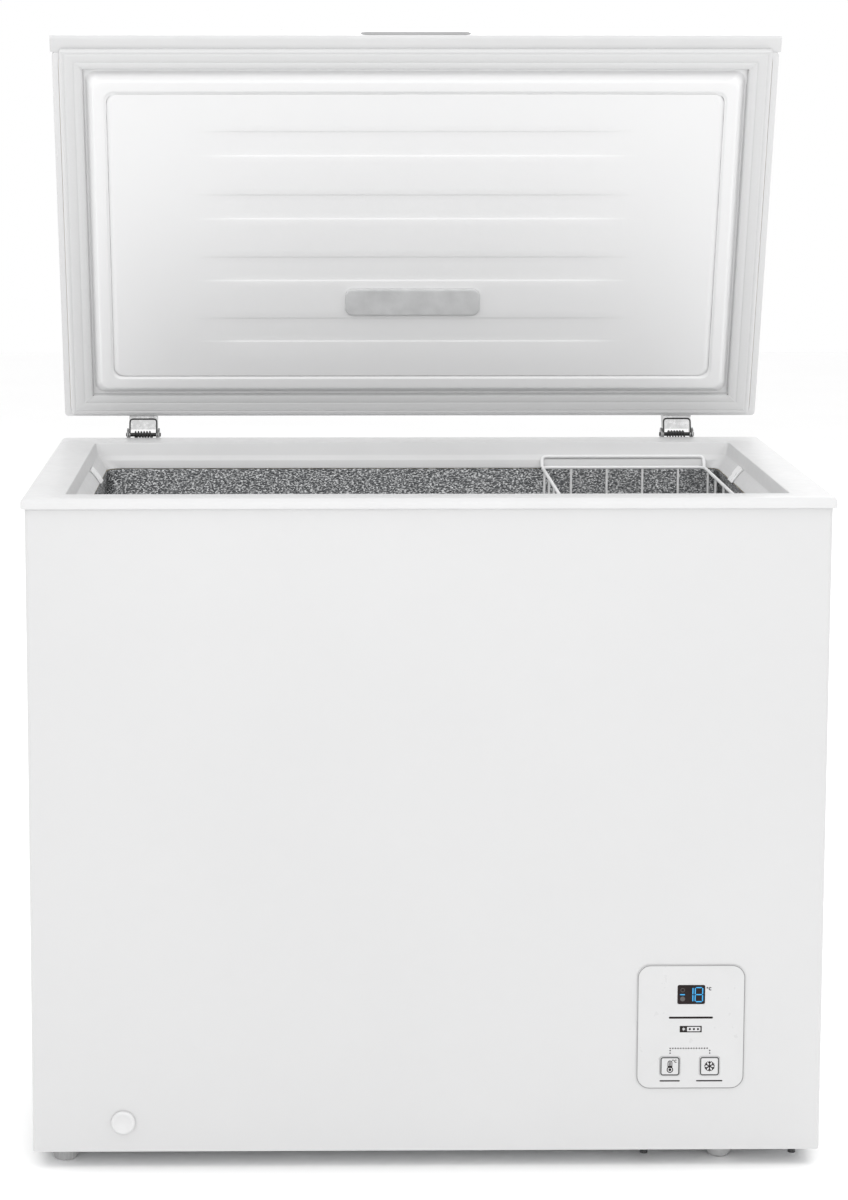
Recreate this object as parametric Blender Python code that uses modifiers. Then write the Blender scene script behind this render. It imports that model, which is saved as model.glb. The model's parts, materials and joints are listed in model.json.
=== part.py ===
"""Chest freezer with its lid open, as an assembly of separate parts.

Metres, +Z up. The origin is on the floor, under the middle of the whole box with the lid
open. The front of the cabinet faces -Y. Sizes are given as depth behind the front panel
and as height above the rim, which the functions depth and rim turn into Y and Z.
"""

from math import cos, pi, radians, sin

import bmesh
import bpy
from mathutils import Matrix, Vector

# Cabinet
SHELL_WIDTH = 0.896
SHELL_DEPTH = 0.507
RIM_HEIGHT = 0.771  # top frame's upper face above the floor
BASE_HEIGHT = 0.019  # underside of the cabinet above the floor
SHEET = 0.001  # steel sheet
GAP = 0.0003  # left between parts that touch
CORNER = 0.004  # bend of the sheet at the front corners
SHELL_X = SHELL_WIDTH / 2

# Top frame
LIP_PROUD = 0.0045
LIP_HEIGHT = 0.012
OPENING_X = 0.405
OPENING_FRONT = 0.030
OPENING_REAR = 0.456

# Liner
LINER_X = 0.388
LINER_FRONT = 0.062
LINER_REAR = 0.445
LINER_TOP = -0.032  # above the rim, so negative
LINER_FLOOR = 0.080  # height above the floor
LINER_SHEET = 0.001
LINER_CORNER = 0.018
STEP_X = 0.154  # left side of the step over the compressor
STEP_HEIGHT = 0.319
FOAM_SPLIT = STEP_HEIGHT + 0.011  # height where the foam's lower and upper blocks meet

# Lid, given as it lies when closed
LID_X = 0.4485
LID_FRONT = -0.011
LID_REAR = 0.494
LID_UNDER = 0.010
LID_TOP = 0.065
TRIM_REAR = 0.0095
LID_ANGLE = 74.6
PIVOT_DEPTH = 0.5175
PIVOT_RISE = 0.0025
LID_WALL = 0.0012
LID_EDGE = (0.0030, 0.0015)  # how far its rounded top edge is in and down from a sharp one
PLUG_X = 0.408
PLUG_FRONT = 0.0335
PLUG_REAR = 0.4595
GASKET_X = 0.4385
GASKET_WIDTH = 0.028
GASKET_FRONT = (0.005, 0.030)
GASKET_REAR = (0.4623, 0.4885)
SLOT_LENGTH = 0.136
SLOT_HEIGHT = 0.016
LAMP_DEPTH = 0.332
LAMP_SIZE = (0.171, 0.036)

# Hinges
HINGE_X = 0.347
BASE_HALF = 0.021
ARM_HALF = 0.01835
PIN_RADIUS = 0.0025
PIN_HOLE = 0.0028
KNUCKLE = 0.0055

# Machine compartment at the lower right
NICHE_LEFT = 0.215
NICHE_FRONT = 0.058
NICHE_TOP = 0.262
COMPRESSOR_AT = (0.335, 0.290)  # X and depth
TRAY_TOP = 0.0187
TRAY_SHEET = 0.0022

# Control panel
PANEL_X = 0.299
PANEL_Z = 0.164
PANEL_SIZE = (0.1224, 0.1454)
PANEL_CORNER = 0.015
DISPLAY_Z = 0.202
DISPLAY_SIZE = (0.0308, 0.0219)
BUTTON_SIDE = 0.0231
BUTTON_CORNER = 0.0034
BUTTON_Z = 0.118
BUTTON_X = (0.276, 0.321)

# Drain
DRAIN_X = -0.345
DRAIN_Z = 0.0535
DRAIN_DEPTH = 0.105
DRAIN_CAP_RADIUS = 0.01385

# Feet
FOOT_X = -0.414
GLIDE_X = 0.338
FOOT_DEPTHS = (0.033, 0.465)
FOOT_RADIUS = 0.014

# Basket
BASKET_X = (0.163, 0.374)
BASKET_WALL = 0.0012

LID_EXTREME = (PIVOT_DEPTH - LID_REAR + LID_EDGE[0], LID_TOP - PIVOT_RISE - LID_EDGE[1])
OPEN_REACH = LID_EXTREME[1] * sin(radians(LID_ANGLE)) - LID_EXTREME[0] * cos(radians(LID_ANGLE))
REAR_REACH = PIVOT_DEPTH + OPEN_REACH
FRONT_Y = -(REAR_REACH - LIP_PROUD) / 2  # centres the box of the open freezer on the origin

WHITE = ((0.80, 0.80, 0.80), 0.35, 0.0)
PLASTIC = ((0.76, 0.76, 0.76), 0.45, 0.0)
SEAL = ((0.56, 0.57, 0.58), 0.70, 0.0)
LENS = ((0.60, 0.61, 0.62), 0.30, 0.0)
FOAM = ((0.85, 0.76, 0.50), 0.90, 0.0)
ALUMINIUM = ((0.55, 0.56, 0.58), 0.35, 1.0)
CHROME = ((0.70, 0.71, 0.73), 0.20, 1.0)
GALVANISED = ((0.45, 0.47, 0.49), 0.45, 1.0)
COPPER = ((0.72, 0.36, 0.22), 0.35, 1.0)
BLACK = ((0.02, 0.02, 0.022), 0.50, 0.0)
DISPLAY = ((0.015, 0.010, 0.012), 0.15, 0.0)
FOOT_GREY = ((0.55, 0.55, 0.54), 0.60, 0.0)
BOARD = ((0.03, 0.18, 0.08), 0.55, 0.0)


def depth(value):
    """Y of a point this far behind the front panel."""
    return FRONT_Y + value


def rim(value):
    """Z of a point this far above the rim."""
    return RIM_HEIGHT + value


PIVOT = Vector((0, depth(PIVOT_DEPTH), rim(PIVOT_RISE)))


def clear_scene():
    for obj in list(bpy.data.objects):
        bpy.data.objects.remove(obj)


def new_collection(name):
    made = bpy.data.collections.new(name)
    bpy.context.scene.collection.children.link(made)
    return made


clear_scene()
PARTS = new_collection("chest_freezer")
CUTTERS = new_collection("cutters")


def move_to(obj, collection):
    for old in list(obj.users_collection):
        old.objects.unlink(obj)
    collection.objects.link(obj)


def finish_part(obj, name, look):
    """Names a part, gives it its own material and smooths its round faces."""
    colour, roughness, metallic = look
    obj.name = name
    obj.data.name = name
    paint = bpy.data.materials.new(name)
    paint.use_nodes = True
    shader = paint.node_tree.nodes["Principled BSDF"]
    shader.inputs["Base Color"].default_value = (*colour, 1.0)
    shader.inputs["Roughness"].default_value = roughness
    shader.inputs["Metallic"].default_value = metallic
    paint.diffuse_color = (*colour, 1.0)
    obj.data.materials.clear()
    obj.data.materials.append(paint)
    move_to(obj, PARTS)
    if obj.type == "MESH":
        obj.data.shade_smooth()
        obj.data.set_sharp_from_angle(angle=radians(35))
    return obj


def finish_cutter(obj, name):
    obj.name = name
    obj.hide_render = True
    obj.display_type = "WIRE"
    move_to(obj, CUTTERS)
    return obj


def boolean(obj, other, operation="DIFFERENCE"):
    change = obj.modifiers.new(other.name, "BOOLEAN")
    change.operation = operation
    change.solver = "EXACT"
    change.object = other


def box(low, high):
    """A block between two corners, with its origin in its middle."""
    low, high = Vector(low), Vector(high)
    bpy.ops.mesh.primitive_cube_add(size=1, location=(low + high) / 2)
    obj = bpy.context.active_object
    obj.data.transform(Matrix.Diagonal((*(high - low), 1)))
    return obj


def cylinder(centre, radius, length, axis="Z", sides=24):
    turns = {"X": (0, pi / 2, 0), "Y": (pi / 2, 0, 0), "Z": (0, 0, 0)}
    bpy.ops.mesh.primitive_cylinder_add(
        vertices=sides, radius=radius, depth=length, location=centre, rotation=turns[axis]
    )
    return bpy.context.active_object


def mesh_object(name, mesh, matrix=None):
    obj = bpy.data.objects.new(name, mesh)
    bpy.context.scene.collection.objects.link(obj)
    if matrix:
        obj.matrix_world = matrix
    return obj


def as_mesh(curve_object):
    """Turns a curve object into a welded mesh object in the same place."""
    bpy.context.view_layer.update()
    graph = bpy.context.evaluated_depsgraph_get()
    mesh = bpy.data.meshes.new_from_object(curve_object.evaluated_get(graph))
    work = bmesh.new()
    work.from_mesh(mesh)
    bmesh.ops.remove_doubles(work, verts=work.verts, dist=1e-6)
    bmesh.ops.recalc_face_normals(work, faces=work.faces)
    work.to_mesh(mesh)
    work.free()
    obj = mesh_object(curve_object.name, mesh, curve_object.matrix_world.copy())
    bpy.data.objects.remove(curve_object)
    return obj


def plate(outlines, low, high, axis="Z"):
    """A flat plate from closed outlines, the first outside and the rest holes.

    Outlines are (X, Y) points for axis Z, (X, Z) for axis Y and (Y, Z) for axis X.
    """
    turns = {"X": (pi / 2, 0, pi / 2), "Y": (pi / 2, 0, 0), "Z": (0, 0, 0)}
    curve = bpy.data.curves.new("outline", "CURVE")
    curve.dimensions = "2D"
    curve.fill_mode = "BOTH"
    curve.extrude = (high - low) / 2
    for outline in outlines:
        spline = curve.splines.new("POLY")
        spline.points.add(len(outline) - 1)
        for point, (u, v) in zip(spline.points, outline):
            point.co = (u, v, 0, 1)
        spline.use_cyclic_u = True
    obj = bpy.data.objects.new("outline", curve)
    bpy.context.scene.collection.objects.link(obj)
    obj.rotation_euler = turns[axis]
    obj.location["XYZ".index(axis)] = (low + high) / 2
    return as_mesh(obj)


def arc(centre, radius, start, end, steps):
    """Points along an arc, in degrees."""
    angles = [radians(start + (end - start) * i / steps) for i in range(steps + 1)]
    return [(centre[0] + radius * cos(a), centre[1] + radius * sin(a)) for a in angles]


def rounded(u0, u1, v0, v1, radius, steps=3):
    """Outline of a rectangle with round corners."""
    corners = [((u1, v1), 0), ((u0, v1), 90), ((u0, v0), 180), ((u1, v0), 270)]
    points = []
    for (u, v), start in corners:
        centre = (u - radius if u == u1 else u + radius, v - radius if v == v1 else v + radius)
        points += arc(centre, radius, start, start + 90, steps)
    return points


def rectangle(u0, u1, v0, v1):
    return [(u0, v0), (u1, v0), (u1, v1), (u0, v1)]


def circle(centre, radius, sides=16):
    return arc(centre, radius, 0, 360 - 360 / sides, sides - 1)


def ring(half_width, front, rear, rise, radius=0.006, middle=0.0):
    """A round-cornered loop of points in a level plane, for loft."""
    outline = rounded(middle - half_width, middle + half_width, depth(front), depth(rear), radius)
    return [(x, y, rim(rise)) for x, y in outline]


def loft(loops, closed=False):
    """Joins loops of equal length into a solid, ends capped or the last joined to the first."""
    work = bmesh.new()
    rows = [[work.verts.new(point) for point in loop] for loop in loops]
    pairs = list(zip(rows, rows[1:]))
    if closed:
        pairs.append((rows[-1], rows[0]))
    else:
        work.faces.new(rows[0])
        work.faces.new(rows[-1])
    for a, b in pairs:
        for i in range(len(a)):
            j = (i + 1) % len(a)
            work.faces.new((a[i], a[j], b[j], b[i]))
    bmesh.ops.recalc_face_normals(work, faces=work.faces)
    mesh = bpy.data.meshes.new("loft")
    work.to_mesh(mesh)
    work.free()
    return mesh_object("loft", mesh)


def turned(profile, centre, rotation=(0, 0, 0), steps=28):
    """A solid turned about its own Z from (radius, height) points, top to bottom."""
    mesh = bpy.data.meshes.new("profile")
    edges = [(i, i + 1) for i in range(len(profile) - 1)]
    mesh.from_pydata([(r, 0, z) for r, z in profile], edges, [])
    obj = mesh_object("turned", mesh)
    obj.location = centre
    obj.rotation_euler = rotation
    screw = obj.modifiers.new("turn", "SCREW")
    screw.steps = screw.render_steps = steps
    screw.use_merge_vertices = True
    screw.merge_threshold = 0.00001
    screw.use_smooth_shade = True
    return obj


def bend(points, radius, steps=2):
    """Rounds the corners of a path, which keeps its ends."""
    points = [Vector(p) for p in points]
    path = [points[0]]
    for before, corner, after in zip(points, points[1:], points[2:]):
        to_before = (before - corner).normalized()
        to_after = (after - corner).normalized()
        start, end = corner + to_before * radius, corner + to_after * radius
        for i in range(steps + 1):
            t = i / steps
            path.append((1 - t) ** 2 * start + 2 * t * (1 - t) * corner + t**2 * end)
    return path + [points[-1]]


def tube(points, radius, resolution=2):
    """A round rod along a path."""
    curve = bpy.data.curves.new("tube", "CURVE")
    curve.dimensions = "3D"
    curve.bevel_depth = radius
    curve.bevel_resolution = resolution
    curve.use_fill_caps = True
    spline = curve.splines.new("POLY")
    spline.points.add(len(points) - 1)
    for point, place in zip(spline.points, points):
        point.co = (*place, 1)
    obj = bpy.data.objects.new("tube", curve)
    bpy.context.scene.collection.objects.link(obj)
    return obj


# Cabinet


def u_outline(half_width, front, rear, corner):
    """Half of a bent wrapper's edge, left rear to right rear round the two front corners."""
    left = arc((-half_width + corner, depth(front) + corner), corner, 180, 270, 3)
    right = arc((half_width - corner, depth(front) + corner), corner, 270, 360, 3)
    return [(-half_width, depth(rear)), *left, *right, (half_width, depth(rear))]


def inside_outline():
    """What fills the cabinet from wall to wall, a gap inside the wrapper and the rear panel."""
    margin = SHEET + GAP
    return u_outline(SHELL_X - margin, margin, SHELL_DEPTH - margin, CORNER - margin)


def make_outer_shell():
    rear = SHELL_DEPTH - SHEET - GAP
    outer = u_outline(SHELL_X, 0, rear, CORNER)
    inner = u_outline(SHELL_X - SHEET, SHEET, rear, CORNER - SHEET)
    shell = plate([outer + inner[::-1]], BASE_HEIGHT, rim(-0.003))
    finish_part(shell, "outer_shell", WHITE)
    window = box((0.255, depth(-0.01), 0.100), (0.343, depth(0.004), 0.220))
    boolean(shell, finish_cutter(window, "panel_window"))
    hole = cylinder((DRAIN_X, depth(0), DRAIN_Z), 0.008, 0.02, "Y")
    boolean(shell, finish_cutter(hole, "drain_hole"))
    vent = box((SHELL_X - 0.01, depth(0.250), 0.075), (SHELL_X + 0.01, depth(0.390), 0.205))
    boolean(shell, finish_cutter(vent, "side_vent_opening"))


def make_rear_panel():
    outline = rectangle(-SHELL_X, SHELL_X, BASE_HEIGHT, rim(-0.003))
    opening = rectangle(NICHE_LEFT + 0.012, SHELL_X - 0.014, 0.034, NICHE_TOP - 0.012)
    panel = plate([outline, opening], depth(SHELL_DEPTH - SHEET), depth(SHELL_DEPTH), "Y")
    finish_part(panel, "rear_panel", GALVANISED)


def make_base_panel():
    niche_x, niche_y = NICHE_LEFT - GAP, depth(NICHE_FRONT - GAP)
    outline = inside_outline()[:-1]
    outline += [(outline[-1][0], niche_y), (niche_x, niche_y), (niche_x, outline[0][1])]
    holes = [circle((FOOT_X, depth(d)), 0.0045, 12) for d in FOOT_DEPTHS]
    panel = plate([outline, *holes], BASE_HEIGHT, BASE_HEIGHT + SHEET)
    finish_part(panel, "base_panel", GALVANISED)


def make_machine_compartment():
    """The sheet that walls the compressor off from the foam: left side, front and top."""
    low = (NICHE_LEFT, depth(NICHE_FRONT), BASE_HEIGHT)
    high = (SHELL_X - SHEET - GAP, depth(SHELL_DEPTH - SHEET - GAP), NICHE_TOP)
    wall = finish_part(box(low, high), "machine_compartment", GALVANISED)
    inside = box(
        (NICHE_LEFT + SHEET, depth(NICHE_FRONT + SHEET), 0),
        (SHELL_X + 0.02, depth(SHELL_DEPTH + 0.02), NICHE_TOP - SHEET),
    )
    boolean(wall, finish_cutter(inside, "machine_space"))


def tub_block(grow, top):
    """The liner's outside grown by a margin: a stepped block with round upright corners."""
    x0, x1 = -LINER_X - grow, LINER_X + grow
    floor, step_x, step_z = LINER_FLOOR - grow, STEP_X + grow, STEP_HEIGHT - grow
    outline = [(x0, floor), (step_x, floor), (step_x, step_z), (x1, step_z), (x1, top), (x0, top)]
    block = plate([outline], depth(LINER_FRONT - grow), depth(LINER_REAR + grow), "Y")
    block.data.transform(block.matrix_world)
    block.matrix_world = Matrix.Identity(4)
    work = bmesh.new()
    work.from_mesh(block.data)
    flat = [e for e in work.edges if len(e.link_faces) == 2 and e.calc_face_angle() < 0.01]
    bmesh.ops.dissolve_edges(work, edges=flat, use_verts=False)
    upright = [
        e for e in work.edges
        if (e.verts[0].co.xy - e.verts[1].co.xy).length < 1e-6
    ]  # fmt: skip
    bmesh.ops.bevel(
        work, geom=upright, offset=LINER_CORNER + grow, segments=4, profile=0.5, affect="EDGES"
    )
    work.to_mesh(block.data)
    work.free()
    return block


def make_liner():
    tub = finish_part(tub_block(LINER_SHEET, rim(LINER_TOP)), "liner_tub", ALUMINIUM)
    boolean(tub, finish_cutter(tub_block(0, rim(0.05)), "tub_space"))
    hole = cylinder((DRAIN_X, depth(DRAIN_DEPTH), LINER_FLOOR), 0.0085, 0.02)
    boolean(tub, finish_cutter(hole, "tub_drain_hole"))


# Cross-section of the top frame: half width, front depth, rear depth and height at each bend
FRAME_INSIDE = [
    (OPENING_X, OPENING_FRONT, OPENING_REAR, 0.0),
    (0.4015, 0.034, 0.452, -0.0156),
    (0.3960, 0.050, 0.446, -0.0210),
    (0.3885, 0.061, 0.445, -0.0315),
]
FRAME_LEG = [
    (0.3925, 0.0570, 0.4490, -0.0315),
    (0.4000, 0.0445, 0.4500, -0.0225),
    (0.4032, 0.0315, 0.4535, -0.0172),
    (0.4080, 0.0270, 0.4590, -0.0025),
]


def make_top_frame():
    lip_rear = SHELL_DEPTH + 0.0015
    loops = [
        ring(SHELL_X + LIP_PROUD, -LIP_PROUD, lip_rear, -LIP_HEIGHT),
        ring(SHELL_X + LIP_PROUD, -LIP_PROUD, lip_rear, -0.004),
        ring(SHELL_X, 0.0, lip_rear, 0.0),
        *[ring(*bend_at) for bend_at in FRAME_INSIDE],
        *[ring(*bend_at) for bend_at in FRAME_LEG],
        ring(SHELL_X + GAP, -GAP, SHELL_DEPTH + GAP, -0.0025, 0.0005),
        ring(SHELL_X + GAP, -GAP, SHELL_DEPTH + GAP, -LIP_HEIGHT, 0.0005),
    ]
    finish_part(loft(loops, closed=True), "top_frame", PLASTIC)


def make_rim_clips():
    """A small clip on the sloping ledge of each side of the frame."""
    section = [
        (0.4010, -0.0151), (0.3955, -0.0206), (0.3880, -0.0312),
        (0.3864, -0.0312), (0.3941, -0.0200), (0.3994, -0.0140),
    ]  # fmt: skip
    for side, name in ((-1, "rim_clip_left"), (1, "rim_clip_right")):
        outline = [(side * x, rim(z)) for x, z in section]
        finish_part(plate([outline], depth(0.315), depth(0.345), "Y"), name, WHITE)


def make_foam(name, low, high):
    """Insulation between the wrapper and the tub, from one height to another."""
    foam = finish_part(plate([inside_outline()], low, high), name, FOAM)
    niche = box(
        (NICHE_LEFT - GAP, depth(NICHE_FRONT - GAP), 0),
        (SHELL_X + 0.02, depth(SHELL_DEPTH + 0.02), NICHE_TOP + GAP),
    )
    boolean(foam, finish_cutter(niche, name + "_niche"))
    boolean(foam, finish_cutter(tub_block(LINER_SHEET + GAP, rim(0.01)), name + "_tub"))
    return foam


def cut_condenser_room(foam, name):
    room = SHEET + 0.0072
    inner, side, front, rear = SHELL_X - room, 0.47, depth(-0.01), depth(0.475)
    outline = [
        (-side, front), (side, front), (side, rear), (inner, rear),
        (inner, depth(room)), (-inner, depth(room)), (-inner, rear), (-side, rear),
    ]  # fmt: skip
    boolean(foam, finish_cutter(plate([outline], 0.285, 0.700), name + "_condenser_band"))


def make_upper_foam():
    foam = make_foam("upper_foam", FOAM_SPLIT + GAP, rim(-0.003))
    grown = [(x + GAP, front - GAP, rear + GAP, rise) for x, front, rear, rise in FRAME_LEG]
    grown[0] = (*grown[0][:3], grown[0][3] - 0.0005)
    grown.append((*grown[-1][:3], 0.0))
    boolean(foam, finish_cutter(loft([ring(*at) for at in grown]), "foam_frame_leg"))
    grow = 0.009
    front, rear = depth(LINER_FRONT - grow), depth(LINER_REAR + grow)
    band = rounded(-LINER_X - grow, LINER_X + grow, front, rear, 0.006)
    boolean(foam, finish_cutter(plate([band], 0.345, 0.715), "foam_evaporator_band"))
    cut_condenser_room(foam, "upper_foam")


def make_lower_foam():
    foam = make_foam("lower_foam", BASE_HEIGHT + SHEET + GAP, FOAM_SPLIT)
    cut_condenser_room(foam, "lower_foam")
    pocket = box((0.248, depth(-0.01), 0.093), (0.350, depth(0.0395), 0.227))
    boolean(foam, finish_cutter(pocket, "foam_panel_pocket"))
    room = 0.008
    for number, at in enumerate(FOOT_DEPTHS):
        stud = box((FOOT_X - room, depth(at) - room, 0), (FOOT_X + room, depth(at) + room, 0.047))
        boolean(foam, finish_cutter(stud, f"foam_foot_pocket_{number}"))
    room = 0.009
    drain = box(
        (DRAIN_X - room, depth(-0.01), DRAIN_Z - room),
        (DRAIN_X + room, depth(DRAIN_DEPTH) + room, 0.084),
    )
    boolean(foam, finish_cutter(drain, "foam_drain_channel"))


def make_evaporator():
    """Tube wound round the tub, a turn at each height and a short rise on the rear side."""
    reach, radius = 0.0046, 0.003
    x, front, rear = LINER_X + reach, LINER_FRONT - reach, LINER_REAR + reach
    points = []
    heights = [0.37 + 0.055 * i for i in range(7)]
    for number, z in enumerate(heights):
        points += [(0.02, rear, z), (-x, rear, z), (-x, front, z), (x, front, z), (x, rear, z)]
        if number < len(heights) - 1:
            points.append((0.06, rear, z))
    path = bend([(px, depth(py), pz) for px, py, pz in points], 0.021)
    finish_part(tube(path, radius, 1), "evaporator_coil", COPPER)


def make_condenser():
    """Tube inside the wrapper, back and forth round the front and both sides."""
    radius = 0.0024
    x = SHELL_X - SHEET - GAP - radius
    front = SHEET + GAP + radius
    rear = 0.465
    points = []
    for number in range(7):
        z = 0.30 + 0.064 * number
        run = [(-x, rear, z), (-x, front, z), (x, front, z), (x, rear, z)]
        points += run if number % 2 == 0 else run[::-1]
    path = bend([(px, depth(py), pz) for px, py, pz in points], 0.004)
    finish_part(tube(path, radius, 1), "condenser_coil", COPPER)


# Machine compartment


def make_tray():
    tray = box((0.222, depth(0.010), TRAY_TOP - TRAY_SHEET), (0.442, depth(0.498), TRAY_TOP))
    finish_part(tray, "compressor_tray", GALVANISED)
    for number, x in enumerate((0.250, 0.420), 1):
        top = TRAY_TOP - TRAY_SHEET - GAP
        profile = [
            (0, top), (0.0065, top), (0.0065, top - 0.001), (0.0045, top - 0.0015),
            (0.0045, top - 0.0075), (0, top - 0.0075),
        ]  # fmt: skip
        bolt = turned(profile, (x, depth(0.0175), 0), steps=12)
        finish_part(bolt, f"tray_bolt_{number}", BLACK)


def make_compressor():
    x, y = COMPRESSOR_AT[0], depth(COMPRESSOR_AT[1])
    plate_low, plate_top = 0.034, 0.037
    shell_profile = [
        (0, 0.205), (0.030, 0.204), (0.055, 0.196), (0.068, 0.180), (0.073, 0.155), (0.073, 0.126),
        (0.077, 0.125), (0.077, 0.119), (0.073, 0.118), (0.073, 0.085), (0.066, 0.060), (0.045, 0.045),
        (0.040, 0.0355), (0, 0.0355),
    ]  # fmt: skip
    shell = finish_part(turned(shell_profile, (x, y, 0), steps=24), "compressor", BLACK)
    corners = rounded(x - 0.085, x + 0.085, y - 0.062, y + 0.062, 0.012)
    bracket = finish_cutter(plate([corners], plate_low, plate_top), "compressor_bracket")
    boolean(shell, bracket, "UNION")
    low, high = TRAY_TOP + GAP, plate_low - GAP
    profile = [
        (0, high), (0.008, high), (0.010, high - 0.003), (0.008, high - 0.006),
        (0.011, low + 0.002), (0.011, low), (0, low),
    ]  # fmt: skip
    places = [(dx, dy) for dx in (-0.070, 0.070) for dy in (-0.048, 0.048)]
    for number, (dx, dy) in enumerate(places, 1):
        rubber = turned(profile, (x + dx, y + dy, 0), steps=16)
        finish_part(rubber, f"compressor_grommet_{number}", BLACK)
    relay = box((x - 0.108, y - 0.026, 0.085), (x - 0.0780, y + 0.026, 0.150))
    finish_part(relay, "start_relay_cover", BLACK)


def make_pipes():
    x, y = COMPRESSOR_AT[0], depth(COMPRESSOR_AT[1])
    ceiling = NICHE_TOP - SHEET - 0.0008
    discharge = [
        (x + 0.0765, y - 0.02, 0.100), (x + 0.095, y - 0.02, 0.100), (x + 0.095, y - 0.10, 0.100),
        (x + 0.095, y - 0.10, 0.225), (x + 0.06, y - 0.15, 0.225), (x + 0.06, y - 0.15, ceiling),
    ]  # fmt: skip
    finish_part(tube(bend(discharge, 0.012), 0.0025), "discharge_pipe", COPPER)
    suction = [
        (x + 0.02, y + 0.0790, 0.110), (x + 0.02, y + 0.110, 0.110), (x + 0.02, y + 0.110, 0.220),
        (x - 0.07, y + 0.110, 0.220), (x - 0.07, y + 0.110, ceiling),
    ]  # fmt: skip
    finish_part(tube(bend(suction, 0.014), 0.0032), "suction_pipe", COPPER)
    drier = [
        (0, 0.200), (0.003, 0.200), (0.003, 0.192), (0.0085, 0.184), (0.0085, 0.106),
        (0.003, 0.098), (0.003, 0.090), (0, 0.090),
    ]  # fmt: skip
    at = (x - 0.085, y + 0.155, 0)
    finish_part(turned(drier, at, steps=16), "filter_drier", COPPER)
    turns, steps, coil_radius, drop = 2, 12, 0.022, 0.0004
    coil = [(at[0], at[1], 0.0895), (at[0], at[1], 0.075)]
    for i in range(turns * steps + 1):
        a = 2 * pi * i / steps
        turn = (at[0] + coil_radius * (1 - cos(a)), at[1] - coil_radius * sin(a), 0.070 - drop * i)
        coil.append(turn)
    coil.append((at[0] - 0.008, at[1] - 0.002, 0.060))
    coil.append((at[0] - 0.012, at[1], 0.070))
    coil.append((at[0] - 0.012, at[1], ceiling))
    finish_part(tube(coil, 0.0011, 1), "capillary_tube", COPPER)


def slots(u0, u1, v0, v1, count, fill=0.5):
    """Level slots evenly spread over a field, as outlines."""
    pitch = (v1 - v0) / count
    half = pitch * fill / 2
    middles = [v0 + pitch * (i + 0.5) for i in range(count)]
    return [rectangle(u0, u1, middle - half, middle + half) for middle in middles]


def make_covers():
    outline = rounded(depth(0.240), depth(0.400), 0.065, 0.215, 0.006)
    holes = slots(depth(0.252), depth(0.388), 0.078, 0.202, 8)
    grille = plate([outline, *holes], SHELL_X + GAP, SHELL_X + 0.0033, "X")
    finish_part(grille, "side_vent_grille", PLASTIC)
    x0, x1 = NICHE_LEFT + 0.002, SHELL_X - 0.004
    outline = rounded(x0, x1, 0.024, NICHE_TOP - 0.002, 0.004)
    holes = slots(x0 + 0.020, x0 + 0.105, 0.075, 0.225, 7)
    holes += slots(x0 + 0.121, x1 - 0.020, 0.075, 0.225, 7)
    cord_x, cord_z = x0 + 0.032, 0.052
    holes.append(circle((cord_x, cord_z), 0.0100))
    cover = plate([outline, *holes], depth(SHELL_DEPTH + GAP), depth(SHELL_DEPTH + 0.0013), "Y")
    finish_part(cover, "rear_service_cover", GALVANISED)
    gland = [
        (0.0050, 0.0040), (0.0140, 0.0040), (0.0140, -0.0005), (0.0094, -0.0005), (0.0094, -0.0060),
        (0.0050, -0.0060), (0.0050, 0.0040),
    ]  # fmt: skip
    at = (cord_x, depth(SHELL_DEPTH + 0.0013 + 0.0008), cord_z)
    finish_part(turned(gland, at, (-pi / 2, 0, 0), 20), "cord_gland", BLACK)


# Control panel and drain


def make_control_panel():
    half_w, half_h = PANEL_SIZE[0] / 2, PANEL_SIZE[1] / 2
    sides = (PANEL_X - half_w, PANEL_X + half_w, PANEL_Z - half_h, PANEL_Z + half_h)
    outline = rounded(*sides, PANEL_CORNER, 4)
    side = BUTTON_SIDE / 2 + GAP
    corner = BUTTON_CORNER + GAP
    holes = [
        rounded(x - side, x + side, BUTTON_Z - side, BUTTON_Z + side, corner) for x in BUTTON_X
    ]
    half_u, half_v = DISPLAY_SIZE[0] / 2, DISPLAY_SIZE[1] / 2
    window = (PANEL_X - half_u, PANEL_X + half_u, DISPLAY_Z - half_v, DISPLAY_Z + half_v)
    holes.append(rounded(window[0] - GAP, window[1] + GAP, window[2] - GAP, window[3] + GAP, 0.002))
    fascia = plate([outline, *holes], depth(-0.0013), depth(-GAP), "Y")
    finish_part(fascia, "control_panel", WHITE)
    lens = plate([rounded(*window, 0.002 - GAP)], depth(-0.0015), depth(0.006), "Y")
    finish_part(lens, "display_lens", DISPLAY)
    side = BUTTON_SIDE / 2
    for x, name in zip(BUTTON_X, ("temperature_button", "super_freeze_button")):
        outline = rounded(x - side, x + side, BUTTON_Z - side, BUTTON_Z + side, BUTTON_CORNER)
        finish_part(plate([outline], depth(-0.0018), depth(0.0055), "Y"), name, WHITE)
    board = box((0.252, depth(0.0075), 0.097), (0.346, depth(0.0375), 0.223))
    finish_part(board, "control_board_box", PLASTIC)


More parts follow.
